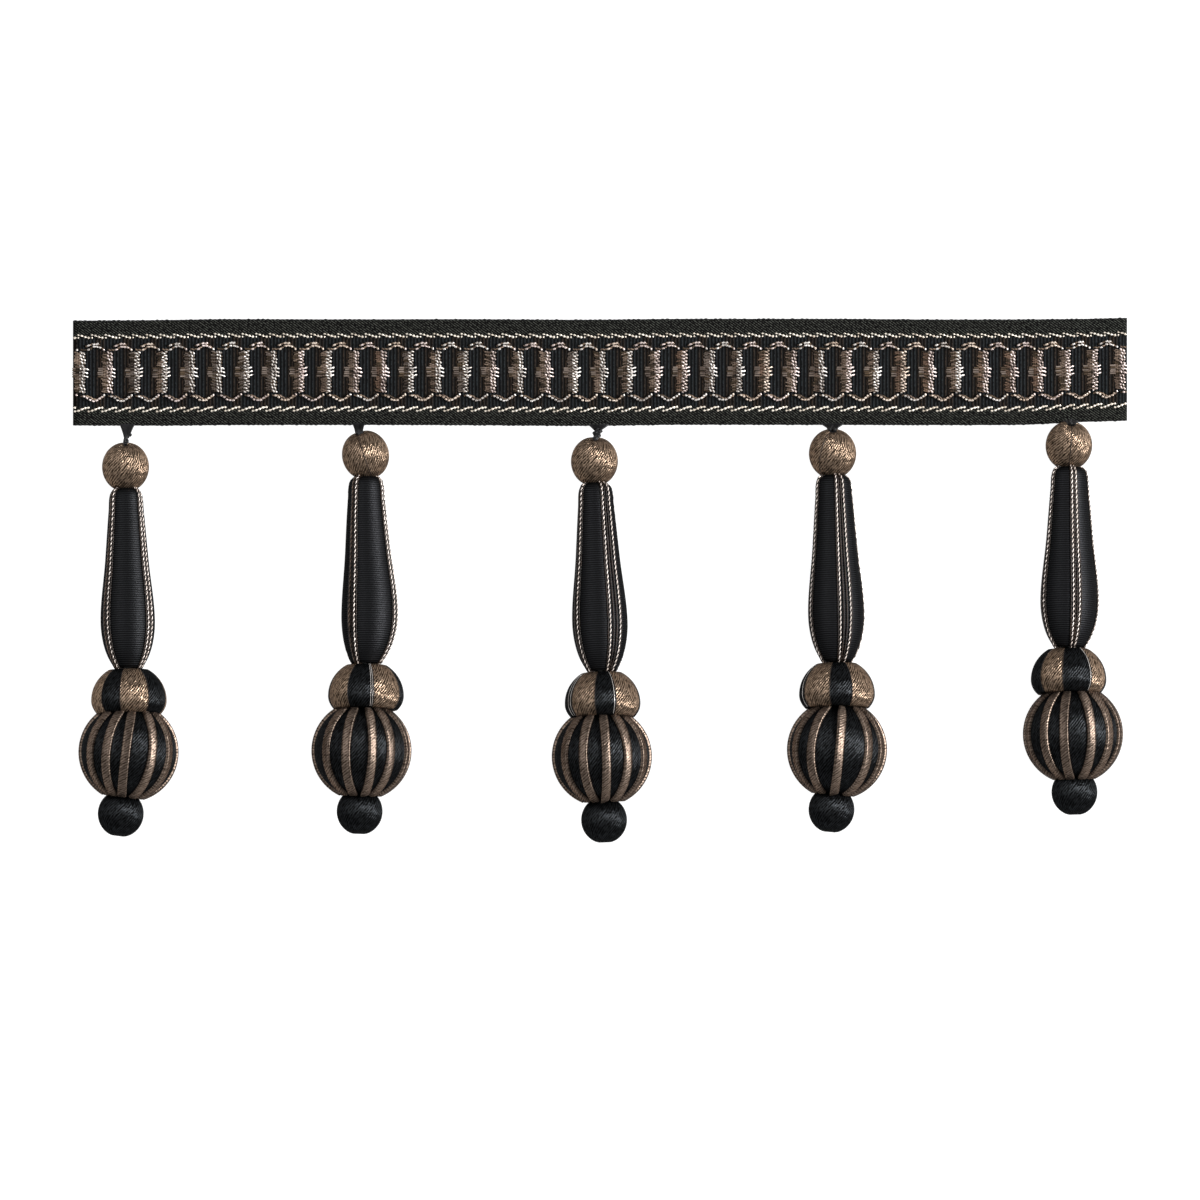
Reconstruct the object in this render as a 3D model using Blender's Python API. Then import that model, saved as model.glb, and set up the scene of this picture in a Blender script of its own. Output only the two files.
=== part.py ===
"""A beaded fringe, laid face up: a woven braid heading, and five drops strung under its lower edge.

Metres, +Z up. X runs along the heading, +Y is its upper side, and every back face rests on Z = 0.
Each drop is a thread, a round bead, a baluster, a bun, a ball and a last bead, all turned moulds with a cover.
"""

import math
from collections import namedtuple

import bmesh
import bpy
from mathutils import Matrix, Vector

MM = 0.001
GAP = 0.3 * MM  # between neighbouring pieces
FLOOR = Vector((0.0, 0.0, 0.0))
UP = Vector((0.0, 0.0, 1.0))

# Heading: a flat braid, with two cords and a chain of gimp on its face.
HEADING_LENGTH = 284.6 * MM
HEADING_THICKNESS = 1.2 * MM
HEADING_HALF_WIDTH = 14.0 * MM  # nominal: the pattern's own measures refer to it
HEADING_ROUNDING = 0.35 * MM
EDGE_CORD_RADIUS = 0.7 * MM
EDGE_CORD_OFFSET = 9.9 * MM
EDGE_CORD_POINTS = 24

# The edges wander as hand-laid braid does: x from the middle, then both edges from the centre line, in mm.
Edge = namedtuple("Edge", "x upper lower")
HEADING_EDGES = (
    Edge(-142.3, 13.80, 14.10),
    Edge(-120.0, 13.95, 14.15),
    Edge(-100.0, 14.20, 14.00),
    Edge(-70.0, 14.15, 13.95),
    Edge(-40.0, 14.20, 14.00),
    Edge(-5.0, 14.05, 14.20),
    Edge(25.0, 14.30, 13.90),
    Edge(60.0, 14.30, 13.95),
    Edge(95.0, 14.10, 14.00),
    Edge(116.0, 14.15, 13.85),
    Edge(128.0, 14.25, 13.25),
    Edge(142.3, 14.55, 12.80),
)

# Gimp chain: upright bars joined by an arch on each side.
CHAIN_BARS = 39
CHAIN_PITCH = 7.39 * MM
CHAIN_THICKNESS = 0.7 * MM
BAR_HALF_WIDTH = 1.45 * MM
BAR_HALF_HEIGHT = 5.2 * MM
NODE_HALF_WIDTH = 0.8 * MM
NODE_INNER = 5.7 * MM
NODE_OUTER = 6.7 * MM
ARCH_RISE = 1.2 * MM
ARCH_SEGMENTS = 3

# Drops: centres in mm, x from the heading's middle and y below its centre line. The turns are in degrees,
# from the side that faces up towards +X, and name only what shows on that side: the rest are spaced evenly.
Drop = namedtuple("Drop", "root_x bead bun ball tip piping_turns strip_turns girth")
DROPS = (
    Drop(-127.6, (-128.1, 25.5), (-127.2, 88.0), (-127.3, 102.5), (-129.4, 119.1),
         (-54.0, 50.0), (-53.0, -27.5, -3.3, 29.7, 58.0), 0.98),
    Drop(-65.2, (-63.3, 22.3), (-63.2, 86.7), (-64.4, 102.1), (-64.9, 118.5),
         (-39.0, 70.0), (-47.6, -19.0, 13.3, 37.6, 71.0), 1.00),
    Drop(-0.5, (-1.5, 24.0), (0.7, 88.8), (0.5, 103.7), (1.1, 120.8),
         (-65.0, 34.5), (-50.6, -22.7, 5.5, 32.9, 61.6), 1.00),
    Drop(62.4, (62.8, 21.9), (64.0, 86.3), (64.0, 101.8), (62.5, 118.0),
         (-77.0, 19.6), (-60.4, -32.5, 3.3, 40.8, 66.5), 1.00),
    Drop(126.4, (126.6, 19.7), (126.5, 82.4), (127.7, 97.6), (128.1, 113.3),
         (-80.0, 13.0, 95.0), (-69.0, -36.9, -10.8, 22.7, 49.5, 73.7), 1.03),
)

THREAD_RADIUS = 0.45 * MM
THREAD_INSET = 1.3 * MM  # how far up the heading's face the thread starts
THREAD_POINTS = 6

BEAD_RADIUS = 6.15 * MM
BEAD_SIDES = 16
BEAD_ROWS = 7
BEAD_FLAT_SPOT = 0.15 * MM
BEAD_SEAT = 5.85 * MM  # from a top bead's centre to the baluster under it

# Baluster: share of its length from the top, and radius in mm over its ribbon cover.
BALUSTER_PROFILE = (
    (0.00, 3.8), (0.03, 4.4), (0.12, 4.85), (0.40, 6.0),
    (0.74, 7.5), (0.85, 6.95), (0.93, 5.75), (1.00, 3.9),
)
BALUSTER_SIDES = 16
PIPING_PROUD = 0.2 * MM  # of the profile
PIPING_COUNT = 4  # pairs of cords
PIPING_WIDTH = 0.9 * MM
PIPING_THICKNESS = 0.4 * MM
PIPING_SPACING = 2.0 * MM  # between the two cords of a pair
PIPING_MOST_TURN = 12.0
PIPING_COLLAR = 2.2 * MM

BUN_RADIUS = 10.25 * MM
BUN_TOP_HEIGHT = 9.2 * MM  # half heights of the full oval above and below its widest row
BUN_BASE_HEIGHT = 7.4 * MM
BUN_TOP_SEAT = 8.15 * MM
BUN_BASE_SEAT = 4.5 * MM
BUN_SIDES = 20
BUN_ROWS = 4  # above the widest row, and below it

BALL_RADIUS = 13.55 * MM  # over the strips
BALL_SIDES = 24
BALL_ROWS = 8
BALL_FLAT_SPOT = 0.25 * MM
BALL_STRIP_COUNT = 12
BALL_STRIP_WIDTH = 2.6 * MM
BALL_STRIP_MOST_TURN = 9.5  # degrees to each side of its middle: it narrows towards the poles
BALL_STRIP_THICKNESS = 0.45 * MM
BALL_STRIP_ROWS = 6
BALL_STRIP_START = -11.0 * MM  # along the axis from the ball's centre
BALL_BASE = 12.3 * MM
BALL_COLLAR = 3.0 * MM

SHARP_ANGLE = math.radians(40.0)

# Principled base colours (linear), roughness.
BLACK_BRAID = ("black braid", (0.013, 0.013, 0.015), 0.75)
GIMP = ("taupe gimp", (0.27, 0.18, 0.13), 0.45)
CREAM_CORD = ("cream and taupe cord", (0.42, 0.34, 0.26), 0.5)
BLACK_THREAD = ("black thread", (0.010, 0.010, 0.011), 0.6)
TAUPE_SATIN = ("taupe satin thread", (0.25, 0.16, 0.115), 0.35)
BLACK_RIBBON = ("black grosgrain ribbon", (0.012, 0.012, 0.014), 0.5)
BLACK_SATIN = ("black satin thread", (0.011, 0.011, 0.014), 0.35)


def clear_scene():
    for obj in list(bpy.data.objects):
        bpy.data.objects.remove(obj, do_unlink=True)


def fabric(finish):
    """The finish's material, made once and shared."""
    name, color, roughness = finish
    material = bpy.data.materials.get(name)
    if material is None:
        material = bpy.data.materials.new(name)
        material.use_nodes = True
        shader = material.node_tree.nodes["Principled BSDF"]
        shader.inputs["Base Color"].default_value = (*color, 1.0)
        shader.inputs["Roughness"].default_value = roughness
        shader.inputs["Metallic"].default_value = 0.0
    return material


def add_object(name, data, finish, fringe, matrix=None):
    """An object of the fringe, at its place under the empty that carries them all."""
    data.materials.append(fabric(finish))
    obj = bpy.data.objects.new(name, data)
    bpy.context.scene.collection.objects.link(obj)
    obj.parent = fringe
    obj.matrix_basis = matrix or Matrix.Identity(4)
    return obj


def add_mesh(name, bm, finish, fringe, matrix=None):
    bmesh.ops.recalc_face_normals(bm, faces=bm.faces)
    if bm.calc_volume(signed=True) < 0:
        bmesh.ops.reverse_faces(bm, faces=bm.faces)
    mesh = bpy.data.meshes.new(name)
    bm.to_mesh(mesh)
    bm.free()
    mesh.shade_smooth()
    mesh.set_sharp_from_angle(angle=SHARP_ANGLE)
    return add_object(name, mesh, finish, fringe, matrix)


def add_cord(name, points, radius, finish, fringe):
    """A round cord with closed ends along the points."""
    curve = bpy.data.curves.new(name, "CURVE")
    curve.dimensions = "3D"
    curve.bevel_depth = radius
    curve.bevel_resolution = 1
    curve.use_fill_caps = True
    spline = curve.splines.new("POLY")
    spline.points.add(len(points) - 1)
    for point, place in zip(spline.points, points):
        point.co = (*place, 1.0)
    return add_object(name, curve, finish, fringe)


def between(rows, at):
    """Straight-line reading of (position, value) rows."""
    for (low, first), (high, last) in zip(rows, rows[1:]):
        if at <= high:
            return first + (last - first) * (at - low) / (high - low)
    return rows[-1][1]


def on_heading(x, across):
    """Y of a point of the pattern: across is measured from the centre line of a braid of nominal width."""
    upper = between([(edge.x * MM, edge.upper * MM) for edge in HEADING_EDGES], x)
    lower = between([(edge.x * MM, edge.lower * MM) for edge in HEADING_EDGES], x)
    middle = (upper - lower) / 2
    return middle + across * (upper + lower) / 2 / HEADING_HALF_WIDTH


def thicken(bm, thickness):
    """Turns a flat sheet of faces into a solid that reaches down from it."""
    grown = bmesh.ops.extrude_face_region(bm, geom=bm.faces[:], use_keep_orig=True)
    moved = [item for item in grown["geom"] if isinstance(item, bmesh.types.BMVert)]
    bmesh.ops.translate(bm, verts=moved, vec=(0.0, 0.0, -thickness))


def add_heading(fringe):
    bm = bmesh.new()
    row = None
    for edge in HEADING_EDGES:
        places = [
            (edge.x * MM, edge.upper * MM, HEADING_THICKNESS),
            (edge.x * MM, -edge.lower * MM, HEADING_THICKNESS),
        ]
        if row is None:
            row = bm.edges.new([bm.verts.new(place) for place in places])
            continue
        ends = list(row.verts)
        grown = bmesh.ops.extrude_edge_only(bm, edges=[row])["geom"]
        row = next(item for item in grown if isinstance(item, bmesh.types.BMEdge))
        ends = sorted(row.verts, key=lambda vert: -vert.co.y)
        for vert, place in zip(ends, places):
            vert.co = place
    thicken(bm, HEADING_THICKNESS)
    bmesh.ops.recalc_face_normals(bm, faces=bm.faces)
    long_edges = [
        edge
        for edge in bm.edges
        if abs(edge.verts[0].co.x - edge.verts[1].co.x) > MM
        and all(vert.co.z > HEADING_THICKNESS / 2 for vert in edge.verts)
    ]
    bmesh.ops.bevel(
        bm, geom=long_edges, offset=HEADING_ROUNDING, segments=1, profile=0.5, affect="EDGES", material=-1
    )
    add_mesh("heading", bm, BLACK_BRAID, fringe)


def add_edge_cords(fringe):
    """The two light cords woven into the face, half a strip in from each edge."""
    height = HEADING_THICKNESS + GAP + EDGE_CORD_RADIUS
    for name, side in (("upper_cord", 1.0), ("lower_cord", -1.0)):
        points = []
        for i in range(EDGE_CORD_POINTS):
            x = HEADING_LENGTH * (i / (EDGE_CORD_POINTS - 1) - 0.5)
            points.append((x, on_heading(x, side * EDGE_CORD_OFFSET), height))
        add_cord(name, points, EDGE_CORD_RADIUS, CREAM_CORD, fringe)


def chain_point(x, across):
    return (x, on_heading(x, across), HEADING_THICKNESS + GAP + CHAIN_THICKNESS)


def add_chain_bar(bm, x):
    """An upright bar with cut corners, and the two square nodes where its arches meet."""
    corners = []
    for side in (1.0, -1.0):
        corners += [
            (x - side * BAR_HALF_WIDTH, side * BAR_HALF_HEIGHT),
            (x - side * NODE_HALF_WIDTH, side * NODE_INNER),
            (x + side * NODE_HALF_WIDTH, side * NODE_INNER),
            (x + side * BAR_HALF_WIDTH, side * BAR_HALF_HEIGHT),
        ]
    bm.faces.new([bm.verts.new(chain_point(*corner)) for corner in corners])
    for side in (1.0, -1.0):
        node = (
            (x - NODE_HALF_WIDTH, side * NODE_INNER),
            (x - NODE_HALF_WIDTH, side * NODE_OUTER),
            (x + NODE_HALF_WIDTH, side * NODE_OUTER),
            (x + NODE_HALF_WIDTH, side * NODE_INNER),
        )
        bm.faces.new([bm.verts.new(chain_point(*corner)) for corner in node])


def add_chain_arches(bm, x):
    """The arch on each side that joins the bar at x to the next one."""
    start = x + NODE_HALF_WIDTH
    span = CHAIN_PITCH - 2 * NODE_HALF_WIDTH
    for side in (1.0, -1.0):
        rows = []
        for i in range(ARCH_SEGMENTS + 1):
            share = i / ARCH_SEGMENTS
            rise = ARCH_RISE * math.sin(math.pi * share)
            rows.append(
                [
                    bm.verts.new(chain_point(start + span * share, side * (level + rise)))
                    for level in (NODE_INNER, NODE_OUTER)
                ]
            )
        for (inner, outer), (next_inner, next_outer) in zip(rows, rows[1:]):
            bm.faces.new((inner, outer, next_outer, next_inner))


def add_gimp_chain(fringe):
    bm = bmesh.new()
    first = -CHAIN_PITCH * (CHAIN_BARS - 1) / 2
    for i in range(CHAIN_BARS):
        add_chain_bar(bm, first + i * CHAIN_PITCH)
        if i < CHAIN_BARS - 1:
            add_chain_arches(bm, first + i * CHAIN_PITCH)
    bmesh.ops.remove_doubles(bm, verts=bm.verts, dist=0.01 * MM)
    bmesh.ops.recalc_face_normals(bm, faces=bm.faces)
    thicken(bm, CHAIN_THICKNESS)
    add_mesh("gimp_chain", bm, GIMP, fringe)


def turned(profile, sides):
    """A solid turned about local Z from (height, radius) rows, with a flat face at each open end."""
    bm = bmesh.new()
    verts = [bm.verts.new((radius, 0.0, height)) for height, radius in profile]
    edges = [bm.edges.new(pair) for pair in zip(verts, verts[1:])]
    bmesh.ops.spin(
        bm,
        geom=verts + edges,
        axis=UP,
        cent=FLOOR,
        steps=sides,
        angle=2 * math.pi,
        use_merge=True,
    )
    bmesh.ops.remove_doubles(bm, verts=bm.verts, dist=0.01 * MM)
    close_holes(bm)
    return bm


def close_holes(bm):
    rims = [edge for edge in bm.edges if edge.is_boundary]
    if rims:
        bmesh.ops.holes_fill(bm, edges=rims, sides=0)
    bmesh.ops.recalc_face_normals(bm, faces=bm.faces)


def trim(bm, matrix, point, outward):
    """Cuts off what lies past a plane, given where the solid will stand, and closes the cut."""
    to_local = matrix.inverted()
    bmesh.ops.bisect_plane(
        bm,
        geom=bm.verts[:] + bm.edges[:] + bm.faces[:],
        dist=0.001 * MM,
        plane_co=to_local @ point,
        plane_no=to_local.to_3x3() @ outward,
        clear_outer=True,
    )
    close_holes(bm)


def standing(centre, direction):
    """The place of a turned piece: its Z along the string, its Y on the side that faces up."""
    along = direction.normalized()
    across = along.cross(UP).normalized() * -1.0
    front = along.cross(across)
    rotation = Matrix((across, front, along)).transposed()
    return Matrix.Translation(centre) @ rotation.to_4x4()


def ball_profile(radius, rows, start=-1.0, end=1.0):
    """(height, radius) rows of a ball between two heights, each a share of its radius."""
    first, last = math.acos(-start), math.acos(-end)
    angles = [first + (last - first) * i / rows for i in range(rows + 1)]
    return [(-radius * math.cos(angle), radius * math.sin(angle)) for angle in angles]


def all_round(turns, count):
    """The turns that show, then the hidden ones spaced evenly over the rest of the circle."""
    hidden = count - len(turns)
    step = (360.0 + turns[0] - turns[-1]) / (hidden + 1)
    return list(turns) + [turns[-1] + step * (i + 1) for i in range(hidden)]


def cage(profile, strips, width, most_turn, collar_radius, thickness):
    """Strips laid along a turned profile, all joined by a flat collar inside its last row.

    profile has (height, radius) rows. Each strip is (turn in degrees, shift along the surface in metres).
    It narrows where it would reach more than most_turn degrees to each side.
    """
    bm = bmesh.new()
    ends = []
    for turn, shift in strips:
        row = None
        for height, radius in profile:
            middle = math.radians(turn) + math.asin(shift / radius)
            reach = min(math.asin(width / 2 / radius), math.radians(most_turn))
            verts = [
                bm.verts.new((radius * math.sin(angle), radius * math.cos(angle), height))
                for angle in (middle - reach, middle + reach)
            ]
            if row:
                bm.faces.new((row[0], row[1], verts[1], verts[0]))
            row = verts
        ends.append(row)
    ends.sort(key=lambda pair: math.atan2(pair[0].co.x, pair[0].co.y))
    for pair, following in zip(ends, ends[1:] + ends[:1]):
        bm.edges.new((pair[1], following[0]))
    height = profile[-1][0]
    rim = [edge for edge in bm.edges if all(abs(vert.co.z - height) < 0.001 * MM for vert in edge.verts)]
    grown = bmesh.ops.extrude_edge_only(bm, edges=rim)["geom"]
    inner = [item for item in grown if isinstance(item, bmesh.types.BMVert)]
    share = collar_radius / profile[-1][1]
    bmesh.ops.scale(bm, verts=inner, vec=(share, share, 1.0))
    bmesh.ops.recalc_face_normals(bm, faces=bm.faces)
    bm.normal_update()
    collar = max(bm.faces, key=lambda face: abs(face.normal.z))
    if collar.normal.z * (height - profile[0][0]) < 0:
        bmesh.ops.reverse_faces(bm, faces=bm.faces)
    bmesh.ops.solidify(bm, geom=bm.faces[:], thickness=thickness)
    bmesh.ops.recalc_face_normals(bm, faces=bm.faces)
    return bm


def centre_of(place, z):
    x, y = place
    return Vector((x * MM, -y * MM, z))


def add_thread(number, drop, bead, string, fringe):
    """From the heading's face, over its edge, and up to the hole in the top bead."""
    root = Vector((drop.root_x * MM, 0.0, HEADING_THICKNESS + GAP + THREAD_RADIUS))
    root.y = on_heading(root.x, -HEADING_HALF_WIDTH) + THREAD_INSET
    hole = bead - string * (BEAD_RADIUS + GAP)
    leaving = root + Vector((0.0, -THREAD_INSET, 0.0))
    arriving = hole - string * (hole - root).length * 0.3
    points = []
    for i in range(THREAD_POINTS):
        t = i / (THREAD_POINTS - 1)
        u = 1 - t
        points.append(root * u**3 + leaving * 3 * u * u * t + arriving * 3 * u * t * t + hole * t**3)
    add_cord(f"hanger_{number}", points, THREAD_RADIUS, BLACK_THREAD, fringe)


def add_bead(name, centre, string, seat, finish, fringe, on_floor):
    """A round bead, cut flat on its seat: seat is (point, outward direction)."""
    matrix = standing(centre, string)
    bm = turned(ball_profile(BEAD_RADIUS, BEAD_ROWS), BEAD_SIDES)
    trim(bm, matrix, *seat)
    if on_floor:
        trim(bm, matrix, FLOOR, -UP)
    add_mesh(name, bm, finish, fringe, matrix)


def add_baluster(number, drop, top, base, fringe):
    """The covered baluster, and the four pairs of cords that edge its ribbon panels."""
    matrix = standing(top, base - top)
    length = (base - top).length
    rows = [(share * length, radius * MM * drop.girth) for share, radius in BALUSTER_PROFILE]
    core = [(height, radius + PIPING_PROUD - PIPING_THICKNESS - GAP) for height, radius in rows]
    core[0] = (core[0][0] + PIPING_THICKNESS + GAP, core[0][1])
    add_mesh(f"baluster_{number}", turned(core, BALUSTER_SIDES), BLACK_RIBBON, fringe, matrix)
    face = [(height, radius + PIPING_PROUD) for height, radius in rows]
    strips = [
        (turn, side * PIPING_SPACING)
        for turn in all_round(drop.piping_turns, PIPING_COUNT)
        for side in (-0.5, 0.5)
    ]
    piping = cage(face[::-1], strips, PIPING_WIDTH, PIPING_MOST_TURN, PIPING_COLLAR, PIPING_THICKNESS)
    add_mesh(f"piping_{number}", piping, GIMP, fringe, matrix)


def add_bun(number, centre, axis, seats, fringe):
    """An oval bun, taller above its widest row than below it, cut flat on both seats."""
    matrix = standing(centre, axis)
    profile = []
    for height, sign in ((BUN_TOP_HEIGHT, -1.0), (BUN_BASE_HEIGHT, 1.0)):
        for i in range(BUN_ROWS + 1):
            angle = math.pi / 2 * i / BUN_ROWS
            profile.append((sign * height * math.sin(angle), BUN_RADIUS * math.cos(angle)))
    profile = sorted(set(profile))
    bm = turned(profile, BUN_SIDES)
    for seat in seats:
        trim(bm, matrix, *seat)
    add_mesh(f"bun_{number}", bm, TAUPE_SATIN, fringe, matrix)


def add_ball(number, drop, centre, axis, seat, fringe):
    """The ball's black core, and the cage of raised satin strips round it."""
    matrix = standing(centre, axis)
    core_radius = BALL_RADIUS - BALL_STRIP_THICKNESS - GAP
    core_base = BALL_BASE - BALL_STRIP_THICKNESS - GAP
    core = turned(ball_profile(core_radius, BALL_ROWS, end=core_base / core_radius), BALL_SIDES)
    trim(core, matrix, *seat)
    add_mesh(f"ball_{number}", core, BLACK_SATIN, fringe, matrix)
    face = ball_profile(
        BALL_RADIUS, BALL_STRIP_ROWS, start=BALL_STRIP_START / BALL_RADIUS, end=BALL_BASE / BALL_RADIUS
    )
    strips = [(turn, 0.0) for turn in all_round(drop.strip_turns, BALL_STRIP_COUNT)]
    bm = cage(face, strips, BALL_STRIP_WIDTH, BALL_STRIP_MOST_TURN, BALL_COLLAR, BALL_STRIP_THICKNESS)
    trim(bm, matrix, *seat)
    trim(bm, matrix, FLOOR, -UP)
    add_mesh(f"ball_strips_{number}", bm, TAUPE_SATIN, fringe, matrix)


def add_drop(number, drop, fringe):
    """A drop lies on its ball and its top bead, and the string between them is straight."""
    bead = centre_of(drop.bead, BEAD_RADIUS - BEAD_FLAT_SPOT)
    ball = centre_of(drop.ball, BALL_RADIUS - BALL_FLAT_SPOT)
    bun = centre_of(drop.bun, 0.0)
    bun.z = bead.z + (ball.z - bead.z) * (bead.y - bun.y) / (bead.y - ball.y)
    tip = centre_of(drop.tip, ball.z)
    upper = (bun - bead).normalized()
    middle = (ball - bun).normalized()
    lower = (tip - ball).normalized()
    half_gap = GAP / 2

    bead_seat = bead + upper * BEAD_SEAT
    bun_top = bun - upper * BUN_TOP_SEAT
    bun_base = bun + middle * BUN_BASE_SEAT
    add_thread(number, drop, bead, upper, fringe)
    add_bead(
        f"top_bead_{number}", bead, upper, (bead_seat - upper * half_gap, upper), TAUPE_SATIN, fringe, True
    )
    add_baluster(number, drop, bead_seat + upper * half_gap, bun_top - upper * half_gap, fringe)
    seats = ((bun_top + upper * half_gap, -upper), (bun_base - middle * half_gap, middle))
    add_bun(number, bun, ball - bead, seats, fringe)
    add_ball(number, drop, ball, lower, (bun_base + middle * half_gap, -middle), fringe)
    tip_seat = (ball + lower * (BALL_BASE + GAP), -lower)
    add_bead(f"end_bead_{number}", tip, lower, tip_seat, BLACK_SATIN, fringe, False)


def main():
    clear_scene()
    fringe = bpy.data.objects.new("fringe", None)
    bpy.context.scene.collection.objects.link(fringe)
    # The origin is under the middle of the whole outline.
    top = max(edge.upper for edge in HEADING_EDGES) * MM
    bottom = max(drop.tip[1] for drop in DROPS) * MM + BEAD_RADIUS
    fringe.location.y = (bottom - top) / 2
    add_heading(fringe)
    add_edge_cords(fringe)
    add_gimp_chain(fringe)
    for number, drop in enumerate(DROPS, start=1):
        add_drop(number, drop, fringe)


main()
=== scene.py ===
# %% [markdown]
# # A beaded fringe
#
# The object is a length of upholstery fringe: a black woven braid about 28 mm wide, with a chain of taupe
# gimp between two light cords on its face, and five drops that hang from its lower edge. Each drop is a
# string of turned wooden moulds, every one covered with thread or ribbon. The solids already give the sizes
# and the places. This script dresses them, one material and one technique at a time.

# %% Load the solids
import math
import random
from collections import namedtuple

import bmesh
import bpy
from mathutils import Matrix, Vector
from mathutils.geometry import interpolate_bezier


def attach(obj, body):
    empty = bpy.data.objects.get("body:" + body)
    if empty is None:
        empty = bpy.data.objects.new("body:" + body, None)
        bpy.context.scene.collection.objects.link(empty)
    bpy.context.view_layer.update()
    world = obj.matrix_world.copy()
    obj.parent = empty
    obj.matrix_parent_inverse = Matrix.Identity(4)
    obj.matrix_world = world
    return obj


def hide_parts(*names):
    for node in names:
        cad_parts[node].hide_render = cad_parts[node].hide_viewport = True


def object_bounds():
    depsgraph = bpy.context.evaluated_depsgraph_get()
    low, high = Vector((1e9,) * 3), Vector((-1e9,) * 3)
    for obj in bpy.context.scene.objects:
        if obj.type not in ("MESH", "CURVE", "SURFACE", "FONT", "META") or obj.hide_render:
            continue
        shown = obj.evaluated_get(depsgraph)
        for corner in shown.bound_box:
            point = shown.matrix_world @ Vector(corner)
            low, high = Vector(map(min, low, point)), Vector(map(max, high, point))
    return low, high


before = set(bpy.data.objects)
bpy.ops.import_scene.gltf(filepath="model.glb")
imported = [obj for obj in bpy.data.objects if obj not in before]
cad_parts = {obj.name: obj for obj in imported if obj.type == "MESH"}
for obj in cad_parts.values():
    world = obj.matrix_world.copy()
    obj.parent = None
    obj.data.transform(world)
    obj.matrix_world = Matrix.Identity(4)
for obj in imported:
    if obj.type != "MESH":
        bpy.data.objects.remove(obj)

MM = 0.001
UP = Vector((0.0, 0.0, 1.0))
scene = bpy.context.scene
solids_low, solids_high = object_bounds()
print("solids span", [round(side / MM, 1) for side in solids_high - solids_low], "mm")

# %% [markdown]
# ## Camera
#
# The photograph looks straight down at a fringe laid flat, and shows no perspective: both ends of the braid
# are as wide as its middle. An orthographic camera gives that. Its one measure is the width of the view,
# which comes from what one pixel of the photograph covers.

# %% Camera
PHOTO_SIDE = 1200  # pixels
PIXEL = 0.27 * MM  # on the object
BRAID_ROW = 372.5  # the row of pixels along the middle of the braid
BRAID_REACH = 14.55 * MM  # from the middle of the braid to the highest point of its upper edge
BRAID_MIDDLE = solids_high.y - BRAID_REACH

camera_data = bpy.data.cameras.new("camera")
camera_data.type = "ORTHO"
camera_data.ortho_scale = PHOTO_SIDE * PIXEL
camera = bpy.data.objects.new("camera", camera_data)
camera.location = (0.0, BRAID_MIDDLE - (PHOTO_SIDE / 2 - BRAID_ROW) * PIXEL, 1.0)
scene.collection.objects.link(camera)
scene.camera = camera
print("view is", round(camera_data.ortho_scale / MM), "mm wide")

# %% [markdown]
# ## Floor and light
#
# Satin thread is made by its highlights, so the lights matter as much as the colours. Each winding in the
# photograph is brightest well right of its middle and just above it. A highlight sits half way between the
# camera and the lamp, so the key lamp is about 55 degrees to the right and 13 degrees up. It is a soft
# square, two metres off, so all five drops see it at the same angle. A broader and weaker fill lamp carries
# the band of light on round the left. A weak sky leaves the blacks deep. The fringe lies on a light table,
# which glows white and so shows no shadows.

# %% Floor, lamps and sky
FLOOR_SIDE = 20.0
FLOOR_GAP = 0.02 * MM  # under the fringe, so that no face lies in the face of the floor
LAMP_DISTANCE = 2.0
KEY_RIGHT, KEY_UP = math.radians(55.0), math.radians(13.0)
KEY_SIZE, KEY_POWER = 0.6, 70.0
FILL_SIZE, FILL_POWER = 1.4, 16.0
SKY_STRENGTH = 0.28
TABLE_GLOW = 0.92


def add_lamp(name, direction, size, power):
    """A square lamp that faces the fringe from the given direction."""
    lamp = bpy.data.objects.new(name, bpy.data.lights.new(name, "AREA"))
    lamp.data.shape = "SQUARE"
    lamp.data.size = size
    lamp.data.energy = power
    lamp.location = direction.normalized() * LAMP_DISTANCE
    lamp.rotation_euler = direction.to_track_quat("Z", "Y").to_euler()
    scene.collection.objects.link(lamp)


add_lamp("key", Vector((math.tan(KEY_RIGHT), math.tan(KEY_UP), 1.0)), KEY_SIZE, KEY_POWER)
add_lamp("fill", Vector((-0.75, 0.25, 1.0)), FILL_SIZE, FILL_POWER)

sky = bpy.data.worlds.new("sky")
sky.use_nodes = True
background = sky.node_tree.nodes["Background"].inputs
background["Color"].default_value = (1.0, 1.0, 1.0, 1.0)
background["Strength"].default_value = SKY_STRENGTH
scene.world = sky
scene.view_settings.view_transform = "Standard"

bm = bmesh.new()
bmesh.ops.create_grid(bm, x_segments=1, y_segments=1, size=FLOOR_SIDE / 2)
bmesh.ops.translate(bm, vec=-UP * FLOOR_GAP, verts=bm.verts)
floor_mesh = bpy.data.meshes.new("floor")
bm.to_mesh(floor_mesh)
bm.free()
floor = bpy.data.objects.new("floor", floor_mesh)
scene.collection.objects.link(floor)
print("key lamp at", round(math.degrees(KEY_RIGHT)), "degrees right")

# %% [markdown]
# ## Helpers for materials
#
# A colour picked from a photograph is an sRGB hex value, while shaders work in linear light, so one function
# turns it. One more adds a node with its settings and inputs. All the finishes share three steps: a wave
# across the threads, a colour between a dark hollow and a light crest, and a relief. Where that colour
# follows the relief, the dark hollow is painted shade and the light crest a painted highlight.

# %% Material helpers
def linear(hex_colour):
    """An sRGB hex value as linear red, green, blue and alpha."""
    parts = [int(hex_colour[i : i + 2], 16) / 255 for i in (1, 3, 5)]
    return (*(s / 12.92 if s <= 0.04045 else ((s + 0.055) / 1.055) ** 2.4 for s in parts), 1.0)


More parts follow.
